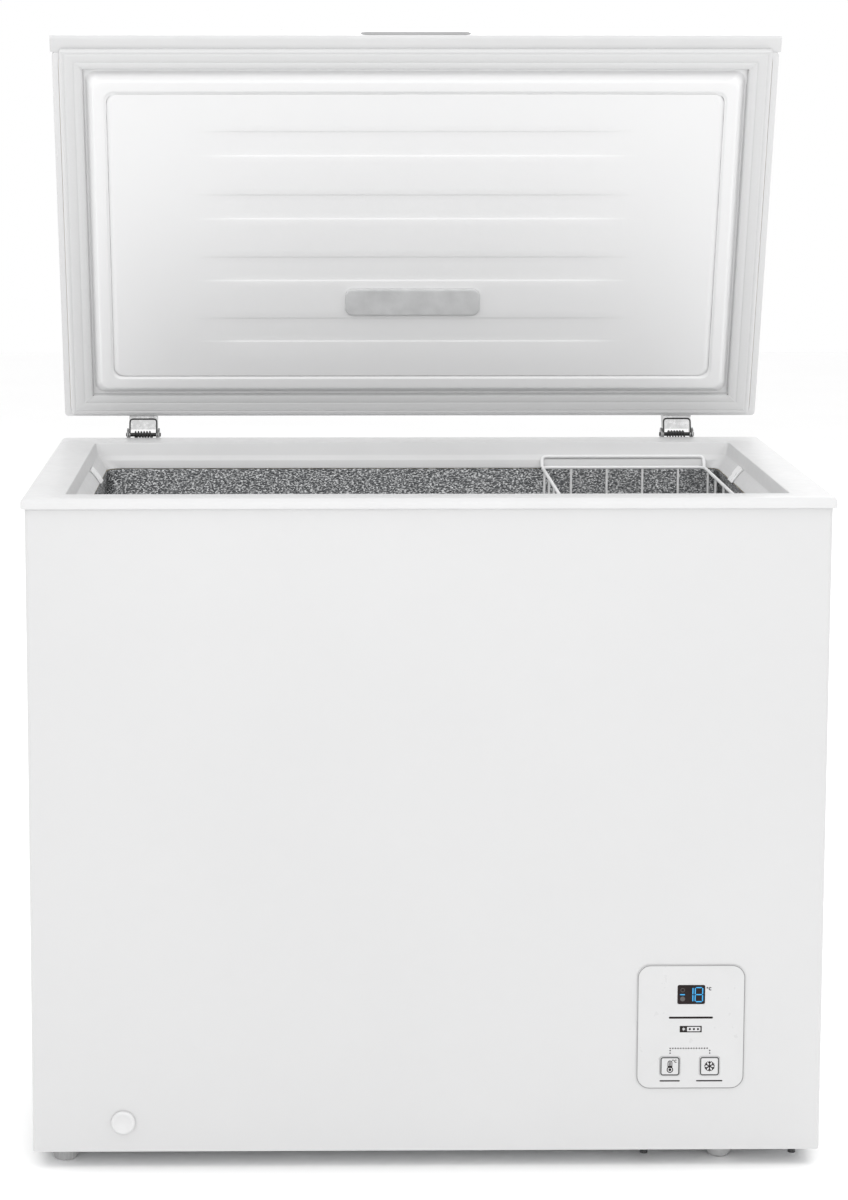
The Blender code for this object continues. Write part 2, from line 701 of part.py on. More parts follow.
def make_drain():
    bottom = LINER_FLOOR - LINER_SHEET - GAP
    route = [
        (DRAIN_X, depth(SHEET + GAP), DRAIN_Z),
        (DRAIN_X, depth(DRAIN_DEPTH), DRAIN_Z),
        (DRAIN_X, depth(DRAIN_DEPTH), bottom),
    ]
    path = bend(route, 0.012, 3)
    pipe = finish_part(as_mesh(tube(path, 0.0082, 2)), "drain_tube", PLASTIC)
    path[0] += Vector((0, -0.01, 0))
    path[-1] += Vector((0, 0, 0.01))
    boolean(pipe, finish_cutter(as_mesh(tube(path, 0.0066, 2)), "drain_bore"))
    cap = [
        (0, 0.0038), (0.0118, 0.0038), (DRAIN_CAP_RADIUS, 0.0025), (DRAIN_CAP_RADIUS, GAP),
        (0.0055, GAP), (0.0055, -0.012), (0, -0.012),
    ]  # fmt: skip
    at = (DRAIN_X, depth(0), DRAIN_Z)
    finish_part(turned(cap, at, (pi / 2, 0, 0)), "drain_cap", WHITE)
    top = LINER_FLOOR + GAP
    stopper = [
        (0, top + 0.012), (0.005, top + 0.012), (0.005, top + 0.003), (0.013, top + 0.003),
        (0.013, top), (0.0058, top), (0.0050, top - 0.010), (0, top - 0.010),
    ]  # fmt: skip
    plug = turned(stopper, (DRAIN_X, depth(DRAIN_DEPTH), 0), steps=20)
    finish_part(plug, "drain_stopper", FOOT_GREY)


def make_feet():
    top = BASE_HEIGHT - GAP
    foot = [
        (0, 0.045), (0.0036, 0.045), (0.0040, 0.043), (0.0040, top), (0.0125, top),
        (FOOT_RADIUS, top - 0.0015), (FOOT_RADIUS, 0.003), (0.0125, 0), (0, 0),
    ]  # fmt: skip
    top = TRAY_TOP - TRAY_SHEET - GAP
    glide = [
        (0, top), (0.0215, top), (0.0215, top - 0.003), (0.0150, top - 0.004), (0.0135, 0.006),
        (0.0110, 0.002), (0.0080, 0), (0, 0),
    ]  # fmt: skip
    for at, word in zip(FOOT_DEPTHS, ("front", "rear")):
        finish_part(turned(foot, (FOOT_X, depth(at), 0)), f"levelling_foot_{word}", FOOT_GREY)
        finish_part(turned(glide, (GLIDE_X, depth(at), 0)), f"glide_foot_{word}", FOOT_GREY)


# Lid, made as it lies when closed and then swung open on its pivot


def make_lid_pivot():
    pivot = bpy.data.objects.new("lid_pivot", None)
    PARTS.objects.link(pivot)
    pivot.location = PIVOT
    pivot.rotation_euler = (-radians(LID_ANGLE), 0, 0)
    return pivot


LID_PIVOT = make_lid_pivot()


def hang(obj):
    """Parents a piece, made as if the lid were closed, to the open lid's pivot."""
    obj.location -= PIVOT
    obj.parent = LID_PIVOT
    return obj


def plug_ring(inset, rise, radius=0.012):
    return ring(PLUG_X - inset, PLUG_FRONT + inset, PLUG_REAR - inset, rise, radius)


def make_lid_shell():
    front, wall = TRIM_REAR + GAP, LID_WALL
    under, top = LID_UNDER, LID_TOP
    flange = 0.0075

    def row(inset, rise, front_inset=0.0):
        return ring(LID_X - inset, front + front_inset, LID_REAR - inset, rise, 0.004)

    loops = [
        row(0.0098, top - wall, wall),
        row(0.0040, top - 0.0025, wall),
        row(wall, top - 0.0092, wall),
        row(wall, under + wall, wall),
        row(flange, under + wall, flange),
        row(flange, under, flange),
        row(0, under),
        row(0, top - 0.0090),
        row(LID_EDGE[0], top - LID_EDGE[1]),
        row(0.0095, top),
    ]
    finish_part(hang(loft(loops)), "lid_outer_shell", WHITE)


def make_lid_trim():
    rear, under, wall = depth(TRIM_REAR), rim(LID_UNDER), 0.0022
    section = [
        (rear, under), (depth(-0.0090), under), (depth(LID_FRONT), under + 0.002),
        (depth(LID_FRONT), under + 0.024), (depth(-0.0098), under + 0.035),
        (depth(-0.0060), under + 0.046), (depth(0.0005), under + 0.0525), (rear, rim(LID_TOP)),
    ]  # fmt: skip
    hollow = [
        (rear + 0.01, under + wall), (depth(-0.0088), under + wall), (depth(-0.0088), under + 0.0235),
        (depth(-0.0077), under + 0.0343), (depth(-0.0042), under + 0.0445),
        (depth(0.0015), under + 0.0503), (rear, rim(LID_TOP) - wall),
        (rear + 0.01, rim(LID_TOP) - wall),
    ]  # fmt: skip
    half = LID_X + 0.002
    trim = finish_part(hang(plate([section], -half, half, "X")), "lid_front_trim", WHITE)
    inside = hang(plate([hollow], -half + wall, half - wall, "X"))
    boolean(trim, finish_cutter(inside, "trim_hollow"))
    middle, cup_wall = rim(LID_UNDER + 0.0115), 0.0018
    reach, rise = SLOT_LENGTH / 2, SLOT_HEIGHT / 2
    cup_reach, cup_rise = reach + cup_wall, rise + cup_wall
    outline = rounded(-cup_reach, cup_reach, middle - cup_rise, middle + cup_rise, rise, 4)
    cup = hang(plate([outline], depth(LID_FRONT + 0.001), rear - 0.001, "Y"))
    boolean(trim, finish_cutter(cup, "handle_cup"), "UNION")
    outline = rounded(-reach, reach, middle - rise, middle + rise, rise - 0.0001, 4)
    pocket = hang(plate([outline], depth(LID_FRONT - 0.01), rear - 0.001 - cup_wall, "Y"))
    boolean(trim, finish_cutter(pocket, "handle_pocket"))


def make_lid_liner():
    wall, under = LID_WALL, LID_UNDER
    edge = (LID_X - 0.0078, TRIM_REAR + GAP + 0.0078, LID_REAR - 0.0078)
    loops = [
        plug_ring(0.0240, -0.0013),
        plug_ring(0.0120, -0.0027),
        plug_ring(0.0012, under + wall),
        ring(*edge, under + wall, 0.004),
        ring(*edge, under, 0.004),
        plug_ring(0.0, under),
        plug_ring(0.0090, -0.0035),
        plug_ring(0.0115, -0.0040),
        plug_ring(0.0230, -0.0040),
        plug_ring(0.0245, -0.0025),
    ]
    liner = finish_part(hang(loft(loops)), "lid_liner", WHITE)
    opening = box(
        (-0.075, depth(LAMP_DEPTH - 0.012), rim(-0.02)),
        (0.075, depth(LAMP_DEPTH + 0.012), rim(0.02)),
    )
    boolean(liner, finish_cutter(hang(opening), "lamp_opening"))


def make_lid_foam():
    front, under = TRIM_REAR + GAP + LID_WALL + GAP, LID_UNDER
    side = LID_X - LID_WALL - GAP

    def row(inset, rise):
        return ring(side - inset, front, LID_REAR - LID_WALL - GAP - inset, rise, 0.004)

    loops = [
        plug_ring(0.0243, -0.0009),
        plug_ring(0.0124, -0.0023),
        plug_ring(0.0016, under + LID_WALL + GAP),
        row(0, under + LID_WALL + GAP),
        row(0, LID_TOP - 0.0097),
        row(0.0029, LID_TOP - 0.0031),
        row(0.0086, LID_TOP - LID_WALL - GAP),
    ]
    foam = finish_part(hang(loft(loops)), "lid_foam", FOAM)
    pocket = box(
        (-0.080, depth(LAMP_DEPTH - 0.016), rim(-0.02)),
        (0.080, depth(LAMP_DEPTH + 0.016), rim(0.009)),
    )
    boolean(foam, finish_cutter(hang(pocket), "lamp_pocket"))


def make_gasket():
    top, low = LID_UNDER - GAP, 0.0004
    inner = GASKET_X - GASKET_WIDTH

    def outer_row(inset, rise):
        return ring(GASKET_X - inset, GASKET_FRONT[0] + inset, GASKET_REAR[1] - inset, rise, 0.003)

    def inner_row(inset, rise):
        return ring(inner + inset, GASKET_FRONT[1] - inset, GASKET_REAR[0] + inset, rise, 0.003)

    loops = [
        outer_row(0, top), outer_row(0, low + 0.0015), outer_row(0.002, low),
        inner_row(0.002, low), inner_row(0, low + 0.0015), inner_row(0, top),
    ]  # fmt: skip
    finish_part(hang(loft(loops, closed=True)), "lid_gasket", SEAL)


def make_lamp():
    half_x, half_y = LAMP_SIZE[0] / 2, LAMP_SIZE[1] / 2
    sides = (-half_x, half_x, depth(LAMP_DEPTH - half_y), depth(LAMP_DEPTH + half_y))
    outline = rounded(*sides, 0.010, 4)
    lens = plate([outline], rim(-0.0062), rim(-0.0025 - GAP))
    finish_part(hang(lens), "lamp_lens", LENS)
    board = box(
        (-0.073, depth(LAMP_DEPTH - 0.010), rim(0.0040)),
        (0.073, depth(LAMP_DEPTH + 0.010), rim(0.0056)),
    )
    finish_part(hang(board), "lamp_board", BOARD)


# Hinges


def make_hinge_base(x, name):
    """Bracket on the rear panel: a screwed plate, a box, and an ear each side of the pin."""
    wall = 0.0018
    front, rear = depth(0.5090), depth(0.5300)
    low, cheek_top, box_top = rim(-0.110), rim(-0.012), rim(-0.016)
    ear = arc((depth(PIVOT_DEPTH), rim(PIVOT_RISE)), 0.0085, 0, 180, 6)
    outline = [
        (front, low), (rear, low), (rear, cheek_top), (ear[0][0], rim(-0.005)), *ear,
        (front, rim(-0.003)),
    ]  # fmt: skip
    body = plate([outline], x - BASE_HALF, x + BASE_HALF, "X")
    finish_part(body, name, GALVANISED)
    left, right = x - BASE_HALF + wall, x + BASE_HALF - wall
    inside = box((left, front + wall, low + wall), (right, rear - wall, rim(0.03)))
    boolean(body, finish_cutter(inside, name + "_inside"))
    above = box((left, front - 0.01, rim(-0.003)), (right, rear + 0.01, rim(0.03)))
    boolean(body, finish_cutter(above, name + "_top"))
    behind = box((left, rear - 0.005, box_top), (right, rear + 0.01, rim(0.02)))
    boolean(body, finish_cutter(behind, name + "_rear_edge"))
    wing = box((x - 0.032, front, rim(-0.105)), (x + 0.032, front + wall, rim(-0.030)))
    boolean(body, finish_cutter(wing, name + "_wings"), "UNION")
    hole = cylinder((x, depth(PIVOT_DEPTH), rim(PIVOT_RISE)), PIN_HOLE, 0.06, "X", 16)
    boolean(body, finish_cutter(hole, name + "_pin_hole"))


def make_hinge_screws(x, name):
    head = [(0, 0.0030), (0.0025, 0.0028), (0.0042, 0.0012), (0.0044, 0), (0, 0)]
    for dx, rise, place in ((-0.0265, -0.045, "upper"), (0.0265, -0.090, "lower")):
        at = (x + dx, depth(0.5090 + 0.0018 + GAP), rim(rise))
        finish_part(turned(head, at, (-pi / 2, 0, 0), 12), f"{name}_screw_{place}", CHROME)


def make_hinge_arm(x, name):
    """U-shaped arm: a plate on the lid's rear face, a web to the pin and a knuckle each side."""
    wall, rear = 0.0015, LID_REAR + GAP
    centre = (depth(PIVOT_DEPTH), rim(PIVOT_RISE))
    knuckle = arc(centre, KNUCKLE, -115, 75, 8)
    plate_top = rim(0.0585)
    outline = [
        (depth(rear), plate_top), (depth(rear), rim(LID_UNDER)), *knuckle,
        (depth(rear + 0.006), rim(0.026)), (depth(rear + wall), rim(0.034)),
        (depth(rear + wall), plate_top),
    ]  # fmt: skip
    arm = finish_part(hang(plate([outline], x - ARM_HALF, x + ARM_HALF, "X")), name, CHROME)
    web_end = depth(0.5095)
    between = [
        (depth(rear + wall), rim(0.070)), (depth(rear + wall), rim(0.0115)), (web_end, rim(0.0042)),
        (web_end, rim(-0.02)), (depth(0.54), rim(-0.02)), (depth(0.54), rim(0.070)),
    ]  # fmt: skip
    channel = hang(plate([between], x - ARM_HALF + wall, x + ARM_HALF - wall, "X"))
    boolean(arm, finish_cutter(channel, name + "_channel"))
    hole = hang(cylinder((x, depth(PIVOT_DEPTH), rim(PIVOT_RISE)), PIN_HOLE, 0.06, "X", 16))
    boolean(arm, finish_cutter(hole, name + "_pin_hole"))


def make_hinge_pin_and_spring(x, side):
    centre = (x, depth(PIVOT_DEPTH), rim(PIVOT_RISE))
    pin = cylinder(centre, PIN_RADIUS, 2 * (BASE_HALF + 0.0015), "X", 16)
    finish_part(pin, f"hinge_pin_{side}", CHROME)
    turns, steps, coil_radius, wire = 6, 9, 0.0042, 0.0010
    half, tail_y, tail_z = 0.011, centre[1] - 0.001, rim(-0.016)
    points = [(x - half, tail_y, tail_z), (x - half, centre[1] + coil_radius, centre[2] - 0.006)]
    for i in range(turns * steps + 1):
        a = 2 * pi * i / steps
        along = x - half + 2 * half * i / (turns * steps)
        points.append((along, centre[1] + coil_radius * cos(a), centre[2] + coil_radius * sin(a)))
    points.append((x + half, centre[1] + coil_radius, centre[2] - 0.006))
    points.append((x + half, tail_y, tail_z))
    finish_part(tube(points, wire, 1), f"hinge_spring_{side}", GALVANISED)


# Basket


def make_basket():
    x0, x1 = BASKET_X
    middle, half = (x0 + x1) / 2, (x1 - x0) / 2

    def row(front, rear, rise, inset=0.0):
        return ring(half - inset, front, rear, rise, 0.010, middle)

    wall = BASKET_WALL
    loops = [
        row(0.0700, 0.4370, -0.1850, wall),
        row(0.0665, 0.4405, -0.0360),
        row(0.0525, 0.4425, -0.0205),
        row(0.0400, 0.4490, -0.0171),
        row(0.0400, 0.4490, -0.0150),
        row(0.0545, 0.4405, -0.0185, wall),
        row(0.0690, 0.4380, -0.0350, wall),
        row(0.0725, 0.4345, -0.1830, 2 * wall),
    ]
    finish_part(loft(loops), "basket", WHITE)


make_outer_shell()
make_rear_panel()
make_base_panel()
make_machine_compartment()
make_liner()
make_top_frame()
make_rim_clips()
make_upper_foam()
make_lower_foam()
make_evaporator()
make_condenser()
make_tray()
make_compressor()
make_pipes()
make_covers()
make_control_panel()
make_drain()
make_feet()
make_lid_shell()
make_lid_trim()
make_lid_liner()
make_lid_foam()
make_gasket()
make_lamp()
for hinge_x, hinge_side in ((-HINGE_X, "left"), (HINGE_X, "right")):
    make_hinge_base(hinge_x, f"hinge_base_{hinge_side}")
    make_hinge_screws(hinge_x, f"hinge_{hinge_side}")
    make_hinge_arm(hinge_x, f"hinge_arm_{hinge_side}")
    make_hinge_pin_and_spring(hinge_x, hinge_side)
make_basket()
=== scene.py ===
"""The looks of the chest freezer: detailed pieces, materials, light and camera round its frame.

Metres, +Z up, with the front of the cabinet towards -Y. Sizes are given as depth behind the
front panel and as height above the rim, which the functions depth and rim turn into Y and Z.
Pieces of the lid are made as they lie on the closed freezer and then swung open.
"""

import json
from math import cos, hypot, pi, radians, sin

import bmesh
import bpy
from mathutils import Matrix, Vector


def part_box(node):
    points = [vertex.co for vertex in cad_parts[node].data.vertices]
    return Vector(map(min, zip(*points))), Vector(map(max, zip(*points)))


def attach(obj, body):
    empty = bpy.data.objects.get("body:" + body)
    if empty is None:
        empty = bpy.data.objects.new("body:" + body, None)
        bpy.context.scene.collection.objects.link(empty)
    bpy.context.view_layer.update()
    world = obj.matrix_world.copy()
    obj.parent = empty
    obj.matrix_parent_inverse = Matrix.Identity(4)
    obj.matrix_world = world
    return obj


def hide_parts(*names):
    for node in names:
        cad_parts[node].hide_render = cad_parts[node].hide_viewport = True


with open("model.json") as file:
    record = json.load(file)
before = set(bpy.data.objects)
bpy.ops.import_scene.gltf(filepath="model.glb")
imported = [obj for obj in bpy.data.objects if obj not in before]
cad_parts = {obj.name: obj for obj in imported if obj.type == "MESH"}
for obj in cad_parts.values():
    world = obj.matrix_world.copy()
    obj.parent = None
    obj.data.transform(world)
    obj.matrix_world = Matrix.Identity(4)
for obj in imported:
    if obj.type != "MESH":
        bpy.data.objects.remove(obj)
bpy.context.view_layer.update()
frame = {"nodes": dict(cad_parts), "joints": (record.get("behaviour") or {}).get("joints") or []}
NODES = frame["nodes"]

SHELL_LOW, SHELL_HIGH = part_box("outer_shell")
RIM_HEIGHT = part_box("top_frame")[1].z
FRONT_Y = SHELL_LOW.y
SHELL_X = SHELL_HIGH.x
SHELL_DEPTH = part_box("rear_panel")[1].y - FRONT_Y
HINGE = next(joint for joint in frame["joints"] if joint["name"] == "lid_hinge")
PIVOT = Vector(HINGE["pos_m"])
LID_ANGLE = -radians(HINGE["range_deg"][0])
SWING = (
    Matrix.Translation(PIVOT) @ Matrix.Rotation(-LID_ANGLE, 4, "X") @ Matrix.Translation(-PIVOT)
)

GAP = 0.0003  # left between parts that touch

# Top frame
LIP_PROUD = 0.0045
LIP_HEIGHT = 0.012
FRAME_INSIDE = [  # half width, front depth, rear depth, height and corner radius at each bend
    (0.4050, 0.030, 0.456, 0.0, 0.0055),
    (0.4015, 0.034, 0.452, -0.0156, 0.0060),
    (0.3960, 0.050, 0.446, -0.0210, 0.0100),
    (0.3885, 0.061, 0.445, -0.0315, 0.0180),
]
FRAME_LEG = [
    (0.3925, 0.0570, 0.4490, -0.0315, 0.0180),
    (0.4000, 0.0445, 0.4500, -0.0225, 0.0100),
    (0.4032, 0.0315, 0.4535, -0.0172, 0.0070),
    (0.4080, 0.0270, 0.4590, -0.0025, 0.0055),
]

# Liner
LINER_X = 0.388
LINER_FRONT = 0.062
LINER_REAR = 0.445
LINER_TOP = -0.032
LINER_FLOOR = 0.080
LINER_SHEET = 0.001
LINER_CORNER = 0.018
STEP_X = 0.154
STEP_HEIGHT = 0.319

# Lid, as it lies when closed
LID_X = 0.4485
LID_FRONT = -0.011
LID_REAR = 0.494
LID_UNDER = 0.010
LID_TOP = 0.065
LID_WALL = 0.0012
TRIM_REAR = 0.0095
PLUG_X = 0.408
PLUG_FRONT = 0.0335
PLUG_REAR = 0.4595
GASKET_X = 0.4385
GASKET_FRONT = 0.005
GASKET_REAR = 0.4885
GASKET_WIDTH = 0.028
SLOT_LENGTH = 0.136
SLOT_HEIGHT = 0.016
LAMP_DEPTH = 0.332
LAMP_SIZE = (0.171, 0.036)
LAMP_CORNER = 0.010
LID_ROUND = 0.0092  # radius along the upper edges of the lid
LID_FLANGE = 0.0075
LID_CORNER = 0.0045
TRIM_OVERHANG = 0.002
TRIM_WALL = 0.0022
FIELD_RISE = -0.0026
FIELD_CORNER = 0.012
GASKET_FRONT_WIDTH = 0.025
GASKET_REAR_WIDTH = 0.0262

# Four shallow bands pressed into the lid liner
BAND_COUNT = 4
BAND_START = 0.106
BAND_PITCH = 0.0823
BAND_HEIGHT = 0.0342
BAND_SINK = 0.0007
BAND_EDGE = 0.0030
BAND_REACH = 0.290
BAND_FADE = 0.085

# Control panel
PANEL_X = 0.299
PANEL_Z = 0.164
PANEL_SIZE = (0.1224, 0.1454)
PANEL_CORNER = 0.015
PANEL_FRONT = -0.0013
DISPLAY_Z = 0.202
DISPLAY_SIZE = (0.0308, 0.0219)
DISPLAY_FRONT = -0.0015
DISPLAY_CORNER = 0.0020
BUTTON_SIDE = 0.0231
BUTTON_Z = 0.118
BUTTON_FRONT = -0.0018
BUTTON_REAR = 0.0055
BUTTON_CORNER = 0.0034
BUTTONS = (("temperature_button", 0.276), ("super_freeze_button", 0.321))
RATING_Z = 0.1615
BRACKET_Z = 0.1390
PANEL_RULE_Z = 0.1750
INK_PROUD = 0.00006
INK_SUNK = 0.0001

# Basket
BASKET_X = (0.163, 0.374)
BASKET_WIRE = 0.0014
BASKET_RAIL = 0.0021
BASKET_TOP = -0.0171
BASKET_SECOND = -0.0300
BASKET_BOTTOM = -0.1835
BASKET_HOOPS = (-0.085, -0.140)
BASKET_HOOKS = (0.0400, 0.4490)  # depth of the front and rear ledges that it hangs on
BASKET_BODY = (0.0665, 0.4405)
BASKET_PITCH = 0.0455

# Ends of the painted shade lines on the hinge arms, as depth and height
SHADE_LINE_LOW = (0.5146, -0.0026)
SHADE_LINE_HIGH = (0.4951, 0.0092)
FOLD_DEPTH = 0.5136

# Drain cap and feet
DRAIN_X = -0.345
DRAIN_Z = 0.0535
FOOT_TOP = 0.0187
FOOT_RIBS = 20
STUD_TOP = 0.0449

# Stage
FLOOR_HALF = 9
FLOOR_SHEET = 0.001
LIGHT_AIM = (0, 0, 0.6)
LIGHTS = [  # name, place, size and power
    ("key", (-2.2, -2.8, 3.0), 1.8, 12),
    ("left", (-2.3, -0.6, 2.9), 1.6, 19),
    ("right", (2.3, -0.6, 2.9), 1.6, 21),
    ("front", (0.3, -4.6, 1.5), 3.0, 56),
    ("rear", (0.5, 3.2, 3.4), 3.0, 60),
]
LENS_LENGTH = 78.74
LENS_SHIFT = (0.08, -0.17)
CAMERA_X = -0.141
CAMERA_DEPTH = -2.869
CAMERA_Z = 1.221
CAMERA_TILT = 6.688
CAMERA_TURN = 0.574


def depth(value):
    """Y of a point this far behind the front panel."""
    return FRONT_Y + value


def rim(value):
    """Z of a point this far above the rim."""
    return RIM_HEIGHT + value


# Shapes


def add_object(name, work, smooth=35):
    """A new object from a bmesh, with round faces smooth and edges sharper than an angle sharp."""
    bmesh.ops.recalc_face_normals(work, faces=work.faces)
    mesh = bpy.data.meshes.new(name)
    work.to_mesh(mesh)
    work.free()
    mesh.shade_smooth()
    mesh.set_sharp_from_angle(angle=radians(smooth))
    obj = bpy.data.objects.new(name, mesh)
    bpy.context.scene.collection.objects.link(obj)
    return obj


def arc(centre, radius, start, end, steps):
    """Points along an arc, in degrees."""
    angles = [radians(start + (end - start) * i / steps) for i in range(steps + 1)]
    return [(centre[0] + radius * cos(a), centre[1] + radius * sin(a)) for a in angles]


def circle(centre, radius, sides=32):
    return arc(centre, radius, 0, 360 - 360 / sides, sides - 1)


def rounded(u0, u1, v0, v1, radius, steps=8):
    """Outline of a rectangle with round corners."""
    corners = [((u1, v1), 0), ((u0, v1), 90), ((u0, v0), 180), ((u1, v0), 270)]
    points = []
    for (u, v), start in corners:
        centre = (u - radius if u == u1 else u + radius, v - radius if v == v1 else v + radius)
        points += arc(centre, radius, start, start + 90, steps)
    return points


def ring(half_width, front, rear, rise, radius=0.006, middle=0.0, steps=8):
    """A round-cornered loop of points in a level plane."""
    sides = (middle - half_width, middle + half_width, depth(front), depth(rear))
    return [(x, y, rim(rise)) for x, y in rounded(*sides, radius, steps)]


def soften(rows, radius, steps=3, ends=True):
    """Rounds the bends of a section given as rows of numbers; ends=False closes it on itself."""
    rows = [Vector(row) for row in rows]
    count = len(rows)
    inner = range(1, count - 1) if ends else range(count)
    made = [rows[0]] if ends else []
    for i in inner:
        before, corner, after = rows[i - 1], rows[i], rows[(i + 1) % count]
        reach_in = min(radius, (before - corner).length * 0.45)
        reach_out = min(radius, (after - corner).length * 0.45)
        start = corner + (before - corner).normalized() * reach_in
        end = corner + (after - corner).normalized() * reach_out
        for step in range(steps + 1):
            t = step / steps
            made.append((1 - t) ** 2 * start + 2 * t * (1 - t) * corner + t**2 * end)
    return made + [rows[-1]] if ends else made


def loft(name, loops, closed=False, smooth=35):
    """Joins loops of equal length into a solid, ends capped or the last joined to the first."""
    work = bmesh.new()
    rows = [[work.verts.new(point) for point in loop] for loop in loops]
    pairs = list(zip(rows, rows[1:]))
    if closed:
        pairs.append((rows[-1], rows[0]))
    else:
        work.faces.new(rows[0])
        work.faces.new(rows[-1])
    for a, b in pairs:
        for i in range(len(a)):
            j = (i + 1) % len(a)
            work.faces.new((a[i], a[j], b[j], b[i]))
    return add_object(name, work, smooth)


def as_mesh(obj, name):
    """Applies an object's modifiers or turns a curve into a welded mesh, in the same place."""
    bpy.context.view_layer.update()
    graph = bpy.context.evaluated_depsgraph_get()
    mesh = bpy.data.meshes.new_from_object(obj.evaluated_get(graph))
    mesh.transform(obj.matrix_world)
    bpy.data.objects.remove(obj)
    work = bmesh.new()
    work.from_mesh(mesh)
    bpy.data.meshes.remove(mesh)
    bmesh.ops.remove_doubles(work, verts=work.verts, dist=1e-6)
    return add_object(name, work)


def plate(name, groups, low, high, axis="Z"):
    """Flat plates cut to closed outlines; an outline inside another is a hole in it.

    Outlines are (X, Y) points for axis Z, (X, Z) for axis Y and (Y, Z) for axis X.
    """
    turns = {"X": (pi / 2, 0, pi / 2), "Y": (pi / 2, 0, 0), "Z": (0, 0, 0)}
    curve = bpy.data.curves.new("outline", "CURVE")
    curve.dimensions = "2D"
    curve.fill_mode = "BOTH"
    curve.extrude = (high - low) / 2
    for outline in groups:
        spline = curve.splines.new("POLY")
        spline.points.add(len(outline) - 1)
        for point, (u, v) in zip(spline.points, outline):
            point.co = (u, v, 0, 1)
        spline.use_cyclic_u = True
    obj = bpy.data.objects.new("outline", curve)
    bpy.context.scene.collection.objects.link(obj)
    obj.rotation_euler = turns[axis]
    obj.location["XYZ".index(axis)] = (low + high) / 2
    return as_mesh(obj, name)


def wires(name, paths, radius, resolution=3):
    """Round rods along paths, as one piece. A path that ends where it starts is closed."""
    curve = bpy.data.curves.new(name, "CURVE")
    curve.dimensions = "3D"
    curve.bevel_depth = radius
    curve.bevel_resolution = resolution
    curve.use_fill_caps = True
    for path in paths:
        closed = (Vector(path[0]) - Vector(path[-1])).length < 1e-6
        points = path[:-1] if closed else path
        spline = curve.splines.new("POLY")
        spline.points.add(len(points) - 1)
        for point, place in zip(spline.points, points):
            point.co = (*place, 1)
        spline.use_cyclic_u = closed
    obj = bpy.data.objects.new("wires", curve)
    bpy.context.scene.collection.objects.link(obj)
    return as_mesh(obj, name)


def lathe(name, profile, centre, axis="Z", sides=48, ribs=0, rib_depth=0.0, smooth=35):
    """A solid turned from (radius, height) points, whose points of rib_depth share carry ribs."""
    turns = {"Z": Matrix.Identity(3), "Y": Matrix.Rotation(pi / 2, 3, "X")}
    loops = []
    for radius, height, *ribbed in profile:
        loop = []
        for i in range(sides):
            angle = 2 * pi * i / sides
            wave = rib_depth * (0.5 + 0.5 * cos(ribs * angle)) if ribbed else 0.0
            point = Vector(((radius - wave) * cos(angle), (radius - wave) * sin(angle), height))
            loop.append(Vector(centre) + turns[axis] @ point)
        loops.append(loop)
    return loft(name, loops, smooth=smooth)


def cut(obj, cutter, operation="DIFFERENCE"):
    """Cuts one object with another, or joins them, and removes the second."""
    name = obj.name
    change = obj.modifiers.new("cut", "BOOLEAN")
    change.operation = operation
    change.solver = "EXACT"
    change.object = cutter
    obj.name = name + "_before"
    made = as_mesh(obj, name)
    bpy.data.objects.remove(cutter)
    return made


def round_edges(obj, width, segments=2, angle=35):
    bevel = obj.modifiers.new("round_edges", "BEVEL")
    bevel.width = width
    bevel.segments = segments
    bevel.limit_method = "ANGLE"
    bevel.angle_limit = radians(angle)
    bevel.harden_normals = True
    return obj


def dress(obj, look, body=None, replaced=()):
    """Gives a piece its material, and a new piece its body, hiding the nodes that it replaces."""
    obj.data.materials.clear()
    obj.data.materials.append(look)
    if body:
        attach(obj, body)
        if replaced:
            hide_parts(*replaced)
    return obj


def hang(obj):
    """Swings a piece made on the closed lid to where it is on the open one."""
    obj.data.transform(SWING @ obj.matrix_world)
    obj.matrix_world = Matrix()
    return obj


# Materials


